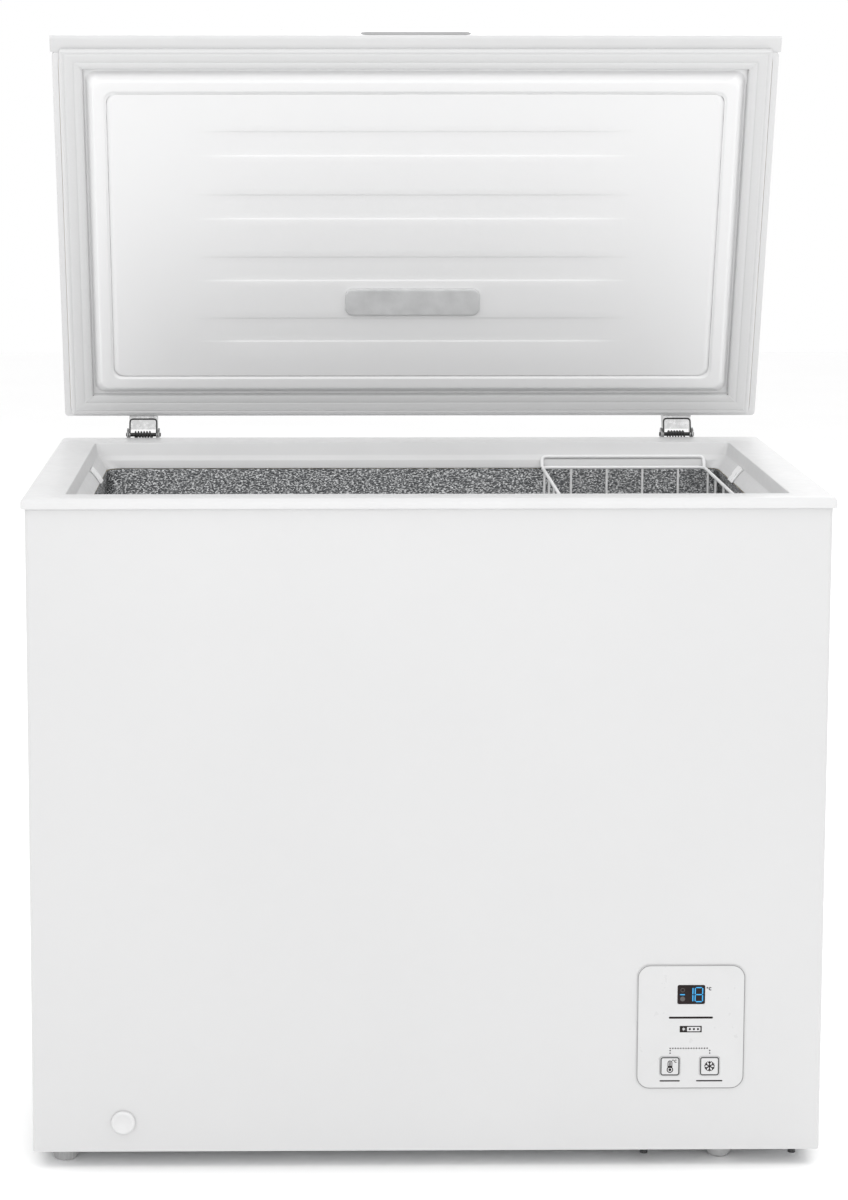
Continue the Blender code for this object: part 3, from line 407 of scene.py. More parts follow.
class Look:
    """A Principled material with procedural detail in the object's own coordinates."""

    def __init__(self, name, colour, roughness, metallic=0.0, **sockets):
        self.material = bpy.data.materials.new(name)
        self.material.use_nodes = True
        self.tree = self.material.node_tree
        self.shader = self.tree.nodes["Principled BSDF"]
        self.shader.inputs["Base Color"].default_value = (*colour, 1.0)
        self.shader.inputs["Roughness"].default_value = roughness
        self.shader.inputs["Metallic"].default_value = metallic
        for key, value in sockets.items():
            self.shader.inputs[key.replace("_", " ").title()].default_value = value
        self.place = self.tree.nodes.new("ShaderNodeTexCoord").outputs["Object"]
        self.normal = None

    def node(self, kind, output, **inputs):
        made = self.tree.nodes.new("ShaderNode" + kind)
        for key, value in inputs.items():
            socket = made.inputs[key.replace("_", " ").title()]
            if isinstance(value, bpy.types.NodeSocket):
                self.tree.links.new(value, socket)
            else:
                socket.default_value = value
        return made.outputs[output]

    def stretched(self, stretch):
        return self.node("Mapping", "Vector", Vector=self.place, Scale=stretch)

    def noise(self, scale, detail=2.0, stretch=(1, 1, 1), distortion=0.0, roughness=0.5):
        return self.node(
            "TexNoise", "Fac", Vector=self.stretched(stretch), Scale=scale, Detail=detail,
            Distortion=distortion, Roughness=roughness,
        )

    def cells(self, scale, stretch=(1, 1, 1), output="Distance"):
        return self.node("TexVoronoi", output, Vector=self.stretched(stretch), Scale=scale)

    def spread(self, value, low, high, start=0.0, end=1.0):
        ramp = self.tree.nodes.new("ShaderNodeMapRange")
        ramp.inputs["From Min"].default_value = start
        ramp.inputs["From Max"].default_value = end
        ramp.inputs["To Min"].default_value = low
        ramp.inputs["To Max"].default_value = high
        self.tree.links.new(value, ramp.inputs["Value"])
        return ramp.outputs["Result"]

    def tint(self, value, dark, light, start=0.3, end=0.7):
        """Colours the surface between two colours as a value goes from start to end."""
        ramp = self.tree.nodes.new("ShaderNodeValToRGB")
        for stop, position, colour in zip(ramp.color_ramp.elements, (start, end), (dark, light)):
            stop.position = position
            stop.color = (*colour, 1.0)
        self.tree.links.new(value, ramp.inputs["Fac"])
        self.tree.links.new(ramp.outputs["Color"], self.shader.inputs["Base Color"])
        return self

    def gloss(self, value, low, high, start=0.3, end=0.7):
        """Roughness from low to high as a value goes from start to end."""
        roughness = self.spread(value, low, high, start, end)
        self.tree.links.new(roughness, self.shader.inputs["Roughness"])
        return self

    def bump(self, height, distance, strength=1.0):
        made = self.tree.nodes.new("ShaderNodeBump")
        made.inputs["Distance"].default_value = distance
        made.inputs["Strength"].default_value = strength
        self.tree.links.new(height, made.inputs["Height"])
        if self.normal:
            self.tree.links.new(self.normal, made.inputs["Normal"])
        self.normal = made.outputs["Normal"]
        self.tree.links.new(self.normal, self.shader.inputs["Normal"])
        return self


def grey(value):
    return (value, value, value * 1.004)


def painted_steel(name, value):
    """Powder coat on steel sheet: orange peel, a slow waviness and slight unevenness of gloss."""
    look = Look(name, grey(value), 0.34, coat_weight=0.12, coat_roughness=0.18)
    look.tint(look.noise(2.5, 3), grey(value * 0.985), grey(value * 1.01))
    look.gloss(look.noise(35, 3), 0.30, 0.40)
    look.bump(look.noise(9, 1), 0.0004, 0.25)
    look.bump(look.noise(620, 2), 0.00007, 0.55)
    return look.material


def moulded_plastic(name, value, roughness=0.42, grain=0.00003):
    """Injection-moulded plastic with a fine spark texture."""
    look = Look(name, grey(value), roughness)
    look.tint(look.noise(14, 3), grey(value * 0.975), grey(value * 1.01))
    look.gloss(look.noise(90, 3), roughness - 0.05, roughness + 0.06)
    look.bump(look.noise(2600, 3), grain, 0.6)
    return look.material


def formed_plastic(name, value):
    """Vacuum-formed sheet: glossier, with soft long waves."""
    look = Look(name, grey(value), 0.34)
    look.tint(look.noise(3, 2), grey(value * 0.988), grey(value * 1.006))
    look.gloss(look.noise(22, 3), 0.30, 0.40)
    look.bump(look.noise(12, 1), 0.0003, 0.12)
    look.bump(look.noise(1500, 2), 0.00002, 0.5)
    return look.material


def seal_rubber():
    look = Look("seal_pvc", (0.545, 0.546, 0.548), 0.52, sheen_weight=0.15)
    look.tint(look.noise(400, 2), (0.54, 0.541, 0.543), (0.55, 0.551, 0.553))
    look.gloss(look.noise(120, 3), 0.48, 0.58)
    look.bump(look.noise(900, 3), 0.00003, 0.3)
    return look.material


def frosted_lens():
    look = Look("frosted_lens", (0.50, 0.503, 0.506), 0.38, subsurface_weight=0.15)
    look.shader.inputs["Subsurface Radius"].default_value = (0.004, 0.004, 0.004)
    look.tint(look.noise(45, 3), (0.46, 0.463, 0.466), (0.54, 0.543, 0.546))
    look.bump(look.cells(420), 0.00012, 0.6)
    return look.material


def embossed_aluminium():
    """Stucco-embossed sheet: a stretched wrinkle pattern pressed into bright aluminium, with
    painted shade in its hollows and painted glints on its crests.
    """
    look = Look("embossed_aluminium", (0.30, 0.31, 0.32), 0.26, 1.0)
    wrinkle_height_and_glints = look.noise(370, 0.0, (1.0, 1.0, 1.7), 0.5)
    # Colour from the wrinkle height: darker in the hollows as painted shade, lighter on the crests
    # as painted glints.
    look.tint(wrinkle_height_and_glints, (0.10, 0.104, 0.108), (0.62, 0.625, 0.63), 0.42, 0.76)
    look.gloss(look.noise(60, 3), 0.20, 0.32)
    look.bump(look.spread(wrinkle_height_and_glints, 0.0, 1.0, 0.30, 0.70), 0.0008, 1.0)
    look.bump(look.noise(900, 2), 0.00005, 0.4)
    return look.material


def bright_plate(name, value, roughness):
    """Bright zinc or nickel plate, with fine scratches along the part."""
    look = Look(name, grey(value), roughness, 1.0)
    look.tint(look.noise(70, 3), grey(value * 0.88), grey(value * 1.04))
    look.gloss(look.noise(260, 4, (1, 0.12, 1)), roughness - 0.06, roughness + 0.12)
    look.bump(look.noise(1200, 2, (1, 0.05, 1)), 0.00002, 0.5)
    return look.material


def galvanised_steel():
    """Hot-dip zinc with its crystal spangle."""
    look = Look("galvanised_steel", (0.48, 0.49, 0.50), 0.42, 1.0)
    spangle = look.cells(150, output="Color")
    look.tint(spangle, (0.45, 0.46, 0.47), (0.53, 0.54, 0.55), 0.1, 0.9)
    look.gloss(spangle, 0.38, 0.48, 0.0, 1.0)
    look.bump(look.noise(500, 3), 0.00004, 0.5)
    return look.material


def copper():
    look = Look("copper", (0.72, 0.36, 0.22), 0.30, 1.0)
    look.tint(look.noise(60, 5, roughness=0.7), (0.44, 0.20, 0.12), (0.82, 0.46, 0.30))
    look.gloss(look.noise(90, 4), 0.20, 0.48)
    look.bump(look.noise(800, 2), 0.00003, 0.5)
    return look.material


def dark_finish(name, colour, roughness, grain=0.00004, scale=1400, specular=0.5):
    look = Look(name, colour, roughness)
    look.shader.inputs["Specular IOR Level"].default_value = specular
    light = tuple(part * 1.7 + 0.004 for part in colour)
    look.tint(look.noise(40, 4), colour, light)
    look.gloss(look.noise(120, 3), roughness - 0.07, roughness + 0.08)
    look.bump(look.noise(scale, 3), grain, 0.6)
    return look.material


def foam_look():
    look = Look("foam", (0.82, 0.70, 0.42), 0.88)
    look.tint(look.noise(25, 5), (0.72, 0.58, 0.32), (0.88, 0.77, 0.50))
    look.bump(look.cells(700), 0.0004, 0.8)
    return look.material


def board_look():
    look = Look("circuit_board", (0.02, 0.16, 0.06), 0.40, coat_weight=0.5)
    look.tint(look.cells(260, (1, 4, 1)), (0.015, 0.10, 0.04), (0.04, 0.24, 0.10), 0.2, 0.6)
    look.bump(look.noise(500, 2), 0.0001, 0.6)
    return look.material


def glow(name, colour, strength):
    look = Look(name, colour, 0.4, emission_strength=strength)
    look.shader.inputs["Emission Color"].default_value = (*colour, 1.0)
    look.tint(look.noise(900, 2), tuple(part * 0.9 for part in colour), colour)
    return look.material


CABINET_WHITE = painted_steel("cabinet_white", 0.54)
LID_WHITE = painted_steel("lid_white", 0.60)
FRAME_WHITE = moulded_plastic("frame_white", 0.59)
LINER_WHITE = formed_plastic("liner_white", 0.69)
TRIM_WHITE = moulded_plastic("trim_white", 0.55, 0.36)
# White plastic like the frame's, painted brighter as the light that the clips catch.
CLIP_LIT_WHITE = moulded_plastic("clip_lit_white", 0.80, 0.30)
PANEL_WHITE = moulded_plastic("panel_white", 0.55, 0.32, 0.00002)
SEAL_GREY = seal_rubber()
LENS = frosted_lens()
ALUMINIUM = embossed_aluminium()
CHROME = bright_plate("chrome", 0.38, 0.28)
ZINC = bright_plate("zinc", 0.26, 0.34)
DARK_STEEL = bright_plate("dark_steel", 0.07, 0.38)
GALVANISED = galvanised_steel()
COPPER = copper()
COATED_WIRE = painted_steel("coated_wire", 0.74)
BLACK_STEEL = dark_finish("black_steel", (0.012, 0.012, 0.013), 0.32)
BLACK_PLASTIC = dark_finish("black_plastic", (0.018, 0.018, 0.019), 0.50)
BLACK_RUBBER = dark_finish("black_rubber", (0.020, 0.020, 0.020), 0.72, 0.00010, 700)
DISPLAY_GLASS = dark_finish("display_glass", (0.010, 0.006, 0.006), 0.55, 0.000005, 300, 0.15)
DIM_MARK = dark_finish("display_dim_mark", (0.05, 0.045, 0.045), 0.35)
INK = dark_finish("ink", (0.010, 0.007, 0.007), 0.60, specular=0.15)
OUTLINE_INK = moulded_plastic("outline_ink", 0.24, 0.5)
BUTTON_INK = moulded_plastic("button_ink", 0.050, 0.5)
SHADOW_INK = moulded_plastic("shadow_ink", 0.10, 0.6)
DIGIT_BLUE = glow("digit_blue", (0.02, 0.27, 0.55), 0.50)
FOOT_GREY = moulded_plastic("foot_grey", 0.36, 0.55, 0.00006)
FOAM = foam_look()
BOARD = board_look()


def dress_frame_nodes():
    """Materials for the nodes whose shape stays as it is, with edges rounded where they show."""
    looks = {
        "outer_shell": CABINET_WHITE,
        "rear_panel": GALVANISED,
        "base_panel": GALVANISED,
        "machine_compartment": GALVANISED,
        "upper_foam": FOAM,
        "lower_foam": FOAM,
        "evaporator_coil": COPPER,
        "condenser_coil": COPPER,
        "compressor": BLACK_STEEL,
        "compressor_tray": GALVANISED,
        "tray_bolt_1": BLACK_STEEL,
        "tray_bolt_2": BLACK_STEEL,
        "compressor_grommet_1": BLACK_RUBBER,
        "compressor_grommet_2": BLACK_RUBBER,
        "compressor_grommet_3": BLACK_RUBBER,
        "compressor_grommet_4": BLACK_RUBBER,
        "start_relay_cover": BLACK_PLASTIC,
        "discharge_pipe": COPPER,
        "suction_pipe": COPPER,
        "filter_drier": COPPER,
        "capillary_tube": COPPER,
        "side_vent_grille": FRAME_WHITE,
        "rear_service_cover": GALVANISED,
        "cord_gland": BLACK_PLASTIC,
        "control_board_box": BLACK_PLASTIC,
        "display_lens": DISPLAY_GLASS,
        "drain_tube": FRAME_WHITE,
        "hinge_base_left": ZINC,
        "hinge_base_right": ZINC,
        "hinge_left_screw_upper": CHROME,
        "hinge_left_screw_lower": CHROME,
        "hinge_right_screw_upper": CHROME,
        "hinge_right_screw_lower": CHROME,
        "hinge_pin_left": DARK_STEEL,
        "hinge_pin_right": DARK_STEEL,
        "hinge_spring_left": DARK_STEEL,
        "hinge_spring_right": DARK_STEEL,
        "hinge_arm_left": CHROME,
        "hinge_arm_right": CHROME,
        "lid_foam": FOAM,
        "lamp_board": BOARD,
        "drain_stopper": FOOT_GREY,
        "rim_clip_left": CLIP_LIT_WHITE,
        "rim_clip_right": CLIP_LIT_WHITE,
    }
    for name, look in looks.items():
        dress(NODES[name], look)
    widths = {
        "rear_service_cover": 0.0003,
        "side_vent_grille": 0.0006,
        "compressor_tray": 0.0006,
        "start_relay_cover": 0.0020,
        "control_board_box": 0.0015,
        "rim_clip_left": 0.0005,
        "rim_clip_right": 0.0005,
        "hinge_base_left": 0.0004,
        "hinge_base_right": 0.0004,
        "hinge_arm_left": 0.0004,
        "hinge_arm_right": 0.0004,
        "display_lens": 0.0003,
    }
    for name, width in widths.items():
        round_edges(NODES[name], width)


# Cabinet


def make_top_frame():
    rear = SHELL_DEPTH + 0.0015
    outside = SHELL_X + LIP_PROUD
    corner = 0.0055
    section = [
        (outside, -LIP_PROUD, rear, -LIP_HEIGHT, corner),
        (outside, -LIP_PROUD, rear, -0.0036, corner),
        (SHELL_X + 0.0012, -0.0012, rear, 0.0, corner),
        *FRAME_INSIDE,
        *FRAME_LEG,
        (SHELL_X + GAP, -GAP, SHELL_DEPTH + GAP, -0.0025, corner),
        (SHELL_X + GAP, -GAP, SHELL_DEPTH + GAP, -LIP_HEIGHT, corner),
    ]
    rows = soften(section, 0.0016, 3, ends=False)
    loops = [ring(*row, steps=6) for row in rows]
    frame_piece = loft("top_frame_moulding", loops, closed=True, smooth=50)
    dress(frame_piece, FRAME_WHITE, "cabinet", ["top_frame"])


def make_liner():
    """Pressed tub, open at the top, with a step over the compressor and round corners."""
    floor, top = LINER_FLOOR, rim(LINER_TOP)
    outline = [
        (-LINER_X, floor), (STEP_X, floor), (STEP_X, STEP_HEIGHT), (LINER_X, STEP_HEIGHT),
        (LINER_X, top), (-LINER_X, top),
    ]
    work = bmesh.new()
    front = [work.verts.new((x, depth(LINER_FRONT), z)) for x, z in outline]
    rear = [work.verts.new((x, depth(LINER_REAR), z)) for x, z in outline]
    work.faces.new(front)
    work.faces.new(rear[::-1])
    for i in range(len(outline) - 2):
        work.faces.new((front[i], front[i + 1], rear[i + 1], rear[i]))
    work.faces.new((front[-1], front[0], rear[0], rear[-1]))
    bmesh.ops.recalc_face_normals(work, faces=work.faces)

    def run(edge):
        return edge.verts[1].co - edge.verts[0].co

    tiny, sharp = 1e-6, 0.5
    upright = [e for e in work.edges if e.is_manifold and hypot(*run(e).xy) < tiny]
    bmesh.ops.bevel(
        work, geom=upright, offset=LINER_CORNER, segments=8, profile=0.5, affect="EDGES"
    )
    low = [
        e for e in work.edges
        if e.is_manifold and abs(run(e).z) < tiny
        and e.calc_face_angle(0) > sharp and e.verts[0].co.z < STEP_HEIGHT + LINER_SHEET
    ]
    bmesh.ops.bevel(work, geom=low, offset=0.005, segments=3, profile=0.5, affect="EDGES")
    tub = add_object("embossed_tub", work, 40)
    wall = tub.modifiers.new("sheet", "SOLIDIFY")
    wall.thickness = LINER_SHEET
    wall.offset = 1
    dress(tub, ALUMINIUM, "cabinet", ["liner_tub"])


def make_drain_cap():
    profile = [  # radius and height, from the end of the spigot to the middle of the face
        (0.0001, -0.0112), (0.0048, -0.0112), (0.0055, -0.0104), (0.0055, 0.0004),
        (0.0132, 0.0004), (0.01385, 0.0009), (0.01385, 0.0020), (0.0134, 0.0029),
        (0.0125, 0.0035), (0.0112, 0.0038), (0.0098, 0.0037), (0.0092, 0.0033),
        (0.0001, 0.0031),
    ]
    centre = (DRAIN_X, depth(0), DRAIN_Z)
    cap = lathe("drain_cap_disc", profile, centre, "Y", 64)
    dress(cap, FRAME_WHITE, "drain_cap", ["drain_cap"])


def make_feet():
    """Ribbed levelling feet on studs at the left, and domed glides at the right."""
    for word in ("front", "rear"):
        node = f"levelling_foot_{word}"
        low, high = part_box(node)
        centre = ((low.x + high.x) / 2, (low.y + high.y) / 2, 0)
        profile = [
            (0.0001, 0.0), (0.0118, 0.0), (0.0130, 0.0008), (0.0140, 0.0030, 1),
            (0.0140, 0.0160, 1), (0.0134, FOOT_TOP - 0.0006), (0.0124, FOOT_TOP),
            (0.0040, FOOT_TOP), (0.0040, 0.0430), (0.0036, STUD_TOP), (0.0001, STUD_TOP),
        ]
        foot = lathe(
            f"ribbed_foot_{word}", profile, centre, sides=120, ribs=FOOT_RIBS, rib_depth=0.0011
        )
        dress(foot, FOOT_GREY, node, [node])
        low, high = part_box(f"glide_foot_{word}")
        centre = ((low.x + high.x) / 2, (low.y + high.y) / 2, 0)
        flange = high.z
        profile = [
            (0.0001, 0.0), (0.0078, 0.0), (0.0100, 0.0006), (0.0122, 0.0022), (0.0138, 0.0048),
            (0.0146, 0.0080), (0.0150, flange - 0.0042), (0.0158, flange - 0.0034),
            (0.0208, flange - 0.0030), (0.0215, flange - 0.0024), (0.0215, flange - 0.0005),
            (0.0210, flange), (0.0001, flange),
        ]
        glide = lathe(f"glide_{word}", profile, centre, sides=64)
        dress(glide, FOOT_GREY, "cabinet", [f"glide_foot_{word}"])


# Control panel


def print_on(name, outlines, look, front=PANEL_FRONT, body="cabinet"):
    """A printed mark: a very thin plate sunk into the surface that it is printed on."""
    mark = plate(name, outlines, depth(front - INK_PROUD), depth(front + INK_SUNK), "Y")
    return dress(mark, look, body)


def block(x, z, half_width, half_height, radius, steps=8):
    """Outline of a round-cornered rectangle about its middle."""
    return rounded(
        x - half_width, x + half_width, z - half_height, z + half_height, radius, steps
    )


def frame_outline(x, z, width, height, radius, stroke):
    """Outer and inner outline of a round-cornered line frame."""
    return [
        block(x, z, width / 2 - inset, height / 2 - inset, radius - inset, 10)
        for inset in (0, stroke)
    ]


def bar(x, z, width, height, turn=0.0):
    """Outline of a bar with cut corners, turned about its middle."""
    u, v, snip = width / 2, height / 2, min(width, height) * 0.3
    points = [
        (u - snip, -v), (u, -v + snip), (u, v - snip), (u - snip, v),
        (-u + snip, v), (-u, v - snip), (-u, -v + snip), (-u + snip, -v),
    ]
    across, up = cos(turn), sin(turn)
    return [(x + a * across - b * up, z + a * up + b * across) for a, b in points]


def make_panel():
    """Fascia with openings for the display window and the two buttons, and its printed edge."""
    width, height = PANEL_SIZE
    room = BUTTON_SIDE / 2 + GAP
    half_u, half_v = DISPLAY_SIZE[0] / 2 + GAP, DISPLAY_SIZE[1] / 2 + GAP
    outlines = [
        block(PANEL_X, PANEL_Z, width / 2, height / 2, PANEL_CORNER, 14),
        *[block(x, BUTTON_Z, room, room, BUTTON_CORNER + GAP) for _, x in BUTTONS],
        block(PANEL_X, DISPLAY_Z, half_u, half_v, DISPLAY_CORNER),
    ]
    fascia = plate("panel_fascia", outlines, depth(PANEL_FRONT), depth(-GAP), "Y")
    round_edges(fascia, 0.0002, 2)
    dress(fascia, PANEL_WHITE, "cabinet", ["control_panel"])
    inside, stroke = 0.0006, 0.0011
    outline = frame_outline(
        PANEL_X, PANEL_Z, width - inside, height - inside, PANEL_CORNER, stroke
    )
    print_on("panel_outline", outline, OUTLINE_INK)


def make_readout():
    """Minus eighteen in seven-segment digits, with two unlit marks."""
    height, stroke, width, gap = 0.0176, 0.0012, 0.0096, 0.0003
    arm, middle = (height - stroke) / 2, PANEL_X + 0.0086
    level, upright = width - 2 * stroke - 2 * gap, arm - stroke - gap
    lit = [bar(middle, DISPLAY_Z + rise, level, stroke) for rise in (arm, 0, -arm)]
    lit.append(bar(PANEL_X - 0.0100, DISPLAY_Z, 0.0056, stroke))
    half = (width - stroke) / 2
    for x in (middle - half, middle + half, PANEL_X + 0.0018):
        for rise in (-arm / 2, arm / 2):
            lit.append(bar(x, DISPLAY_Z + rise, stroke, upright + stroke * 0.6))
    print_on("display_digits", lit, DIGIT_BLUE, DISPLAY_FRONT)
    lower, upper = (PANEL_X - 0.0098, DISPLAY_Z - 0.0050), (PANEL_X - 0.0098, DISPLAY_Z + 0.0052)
    dim = [circle(lower, 0.0028), circle(upper, 0.0024), circle(upper, 0.0019)]
    print_on("display_dim_marks", dim, DIM_MARK, DISPLAY_FRONT)


def degree_mark(x, z, size):
    """A degree ring with an open round unit mark beside it."""
    ring_at = (x - size * 0.62, z + size * 0.30)
    outer = arc((x + size * 0.25, z), size * 0.5, 50, 310, 20)
    inner = arc((x + size * 0.25, z), size * 0.26, 310, 50, 20)
    return [circle(ring_at, size * 0.24, 16), circle(ring_at, size * 0.08, 16), outer + inner]


def star(x, z, radius, points=6):
    """Outline of a slender star."""
    outline = []
    for i in range(2 * points):
        reach = radius if i % 2 == 0 else radius * 0.32
        angle = pi / 2 + pi * i / points
        outline.append((x + reach * cos(angle), z + reach * sin(angle)))
    return outline


def make_panel_marks():
    """Degree unit, star rating, dotted bracket over the buttons and plain label rules."""
    print_on("degree_mark", degree_mark(PANEL_X + 0.0206, DISPLAY_Z + 0.0068, 0.0040), INK)
    rating = [
        block(PANEL_X, RATING_Z, 0.0125, 0.0038, 0.0003, 3),
        block(PANEL_X + 0.0034, RATING_Z, 0.0076, 0.0026, 0.0009),
        star(PANEL_X - 0.0080, RATING_Z, 0.0026),
        *[circle((PANEL_X - 0.0010 + 0.0046 * i, RATING_Z), 0.0013, 12) for i in range(3)],
    ]
    print_on("star_rating", rating, INK)
    left, right = [x for _, x in BUTTONS]
    side, pitch = 0.0016, 0.0030
    dots = [(left + pitch * i, BRACKET_Z) for i in range(int((right - left) / pitch) + 1)]
    dots += [(x, BRACKET_Z - pitch * (i + 1) + 0.0003) for x in (left, right) for i in range(2)]
    print_on("dotted_bracket", [bar(x, z, side, side) for x, z in dots], INK)
    label_z = BUTTON_Z - BUTTON_SIDE / 2 - 0.0058
    rules = [bar(x, label_z, width, 0.0016) for x, width in ((left, 0.0230), (right, 0.0300))]
    rules.append(bar(PANEL_X, PANEL_RULE_Z, 0.0500, 0.0024))
    print_on("label_rules", rules, INK)


def make_buttons():
    half = BUTTON_SIDE / 2
    inside, radius, stroke = 0.0012, 0.0032, 0.0015
    for name, x in BUTTONS:
        outline = block(x, BUTTON_Z, half, half, BUTTON_CORNER)
        button = plate(name + "_key", [outline], depth(BUTTON_FRONT), depth(BUTTON_REAR), "Y")
        round_edges(button, 0.0005, 3)
        dress(button, PANEL_WHITE, name, [name])
        side = BUTTON_SIDE - inside
        edge = frame_outline(x, BUTTON_Z, side, side, radius, stroke)
        print_on(name + "_outline", edge, BUTTON_INK, BUTTON_FRONT, name)
    make_thermometer(*BUTTONS[0])
    make_snowflake(*BUTTONS[1])


def make_thermometer(name, x):
    """Thermometer with a degree unit, printed on a button."""
    bulb_z, top_z, half_w = BUTTON_Z - 0.0040, BUTTON_Z + 0.0068, 0.0027
    marks = []
    for half, foot in ((half_w, 0.002), (half_w - 0.0010, 0.0045)):
        dome = arc((x, top_z - half_w), half, 0, 180, 12)
        marks.append([(x + half, bulb_z + foot), *dome, (x - half, bulb_z + foot)])
    marks.append(bar(x, bulb_z + 0.0060, 0.0014, 0.0066))
    print_on("thermometer_stem", marks, INK, BUTTON_FRONT, name)
    bulb = [circle((x, bulb_z), radius) for radius in (0.0037, 0.0026, 0.0016)]
    print_on("thermometer_bulb", bulb, INK, BUTTON_FRONT - 0.00002, name)
    unit = degree_mark(x + 0.0056, BUTTON_Z + 0.0060, 0.0036)
    print_on("thermometer_unit", unit, INK, BUTTON_FRONT, name)


def make_snowflake(name, x):
    """Snowflake of three crossed spokes with two twigs at each end, printed on a button."""
    for i in range(3):
        spoke = [bar(x, BUTTON_Z, 0.0122, 0.0013, pi / 2 + pi * i / 3)]
        print_on(f"snowflake_spoke_{i + 1}", spoke, INK, BUTTON_FRONT - 0.00003 * i, name)
    reach, aside, lean = 0.0047, 0.24, 0.95
    number = 0
    for i in range(6):
        turn = pi / 2 + pi * i / 3
        for side in (-1, 1):
            angle = turn + side * aside
            at = (x + reach * cos(angle), BUTTON_Z + reach * sin(angle))
            twig = [bar(*at, 0.0032, 0.0012, turn + side * lean)]
            number += 1
            print_on(f"snowflake_twig_{number}", twig, INK, BUTTON_FRONT + 0.00002, name)


# Lid


def make_lid_shell():
    """Folded steel cover: inside face, flange underneath, then outside face and rounded top."""
    front = TRIM_REAR + GAP
    wall, flange = LID_WALL, LID_FLANGE
    section = [
        (LID_X - 0.0110, front + wall, LID_REAR - 0.0110, LID_TOP - wall),
        (LID_X - wall, front + wall, LID_REAR - wall, LID_TOP - 0.0095),
        (LID_X - wall, front + wall, LID_REAR - wall, LID_UNDER + wall),
        (LID_X - flange, front + flange, LID_REAR - flange, LID_UNDER + wall),
        (LID_X - flange, front + flange, LID_REAR - flange, LID_UNDER),
        (LID_X, front, LID_REAR, LID_UNDER),
        (LID_X, front, LID_REAR, LID_TOP - LID_ROUND),
    ]
    for across, up in arc((-LID_ROUND, -LID_ROUND), LID_ROUND, 0, 90, 6)[1:]:
        section.append((LID_X + across, front, LID_REAR + across, LID_TOP + up))
    loops = [ring(*row, LID_CORNER, steps=6) for row in section]
    shell = loft("lid_casing", loops)
    dress(hang(shell), LID_WHITE, "lid", ["lid_outer_shell"])


def make_lid_trim():
    """Front moulding of the lid, full width with square ends and a finger slot underneath."""
    rear, under = depth(TRIM_REAR), rim(LID_UNDER)
    face = [
        (rear, under), (depth(-0.0090), under), (depth(LID_FRONT), under + 0.002),
        (depth(LID_FRONT), under + 0.024), (depth(-0.0098), under + 0.035),
        (depth(-0.0060), under + 0.046), (depth(0.0005), under + 0.0525), (rear, rim(LID_TOP)),
    ]
    outline = [tuple(point) for point in soften(face, 0.0050, 5)]
    half, wall = LID_X + TRIM_OVERHANG, TRIM_WALL
    trim = plate("lid_trim_moulding", [outline], -half, half, "X")
    beyond = rear + 0.01
    inner = []
    for (y, z), nudge in zip(face, (0, 1, 1, 1, 1, 1, 1, 0)):
        drop = wall * 0.75 if z > under + 0.03 else 0
        inner.append((y + wall * nudge, max(under + wall, z - drop)))
    hollow = [tuple(point) for point in soften(inner, 0.0040, 4)]
    hollow += [(beyond, rim(LID_TOP) - wall), (beyond, under + wall)]
    trim = cut(trim, plate("hollow", [hollow], -half + wall, half - wall, "X"))
    middle, cup_wall = rim(LID_UNDER + 0.0115), 0.0018
    reach, rise = SLOT_LENGTH / 2, SLOT_HEIGHT / 2
    around = block(0, middle, reach + cup_wall, rise + cup_wall, rise, 10)
    cup_rear = rear - 0.001
    cup = plate("cup", [around], depth(LID_FRONT + 0.001), cup_rear, "Y")
    trim = cut(trim, cup, "UNION")
    opening = block(0, middle, reach, rise, rise - 0.0001, 10)
    mouth = plate("mouth", [opening], depth(LID_FRONT - 0.01), cup_rear - cup_wall, "Y")
    trim = cut(trim, mouth)
    round_edges(trim, 0.0006, 2)
    dress(hang(trim), TRIM_WHITE, "lid", ["lid_front_trim"])


def ease(value):
    """A smooth step from 0 to 1, flat beyond both."""
    share = min(max(value, 0.0), 1.0)
    return share * share * (3 - 2 * share)


def band_sink(x, y):
    """How far the shallow bands press the lid liner in at a point."""
    behind = y - depth(BAND_START)
    sink = 0.0
    for number in range(BAND_COUNT):
        from_edge = min(behind - BAND_PITCH * number, BAND_PITCH * number + BAND_HEIGHT - behind)
        sink = max(sink, ease(from_edge / BAND_EDGE))
    return BAND_SINK * sink * ease((BAND_REACH - abs(x)) / BAND_FADE)


def field_rows(half_width, front, rear, radius):
    """Points of a level field inside a round-cornered loop, in rows from front to rear."""
    marks = {0.0, 1.0}
    span = rear - front
    flat, between = BAND_HEIGHT - 2 * BAND_EDGE, BAND_PITCH - BAND_HEIGHT
    for number in range(BAND_COUNT):
        start = BAND_START + BAND_PITCH * number
        for edge in (start, start + BAND_HEIGHT - BAND_EDGE):
            marks.update((edge + BAND_EDGE * i / 4 - front) / span for i in range(5))
        marks.update((start + BAND_EDGE + flat * i / 4 - front) / span for i in range(5))
        marks.update((start - between * i / 6 - front) / span for i in range(1, 6))
    marks.update(radius * i / 6 / span for i in range(7))
    marks.update(1 - radius * i / 6 / span for i in range(7))
    rows = []
    for share in sorted(m for m in marks if 0 <= m <= 1):
        v = front + span * share
        from_end = min(v - front, rear - v)
        inset = radius - (radius**2 - (radius - from_end) ** 2) ** 0.5 if from_end < radius else 0.0
        reach = half_width - inset
        rows.append([(-reach + 2 * reach * i / 96, depth(v)) for i in range(97)])
    return rows


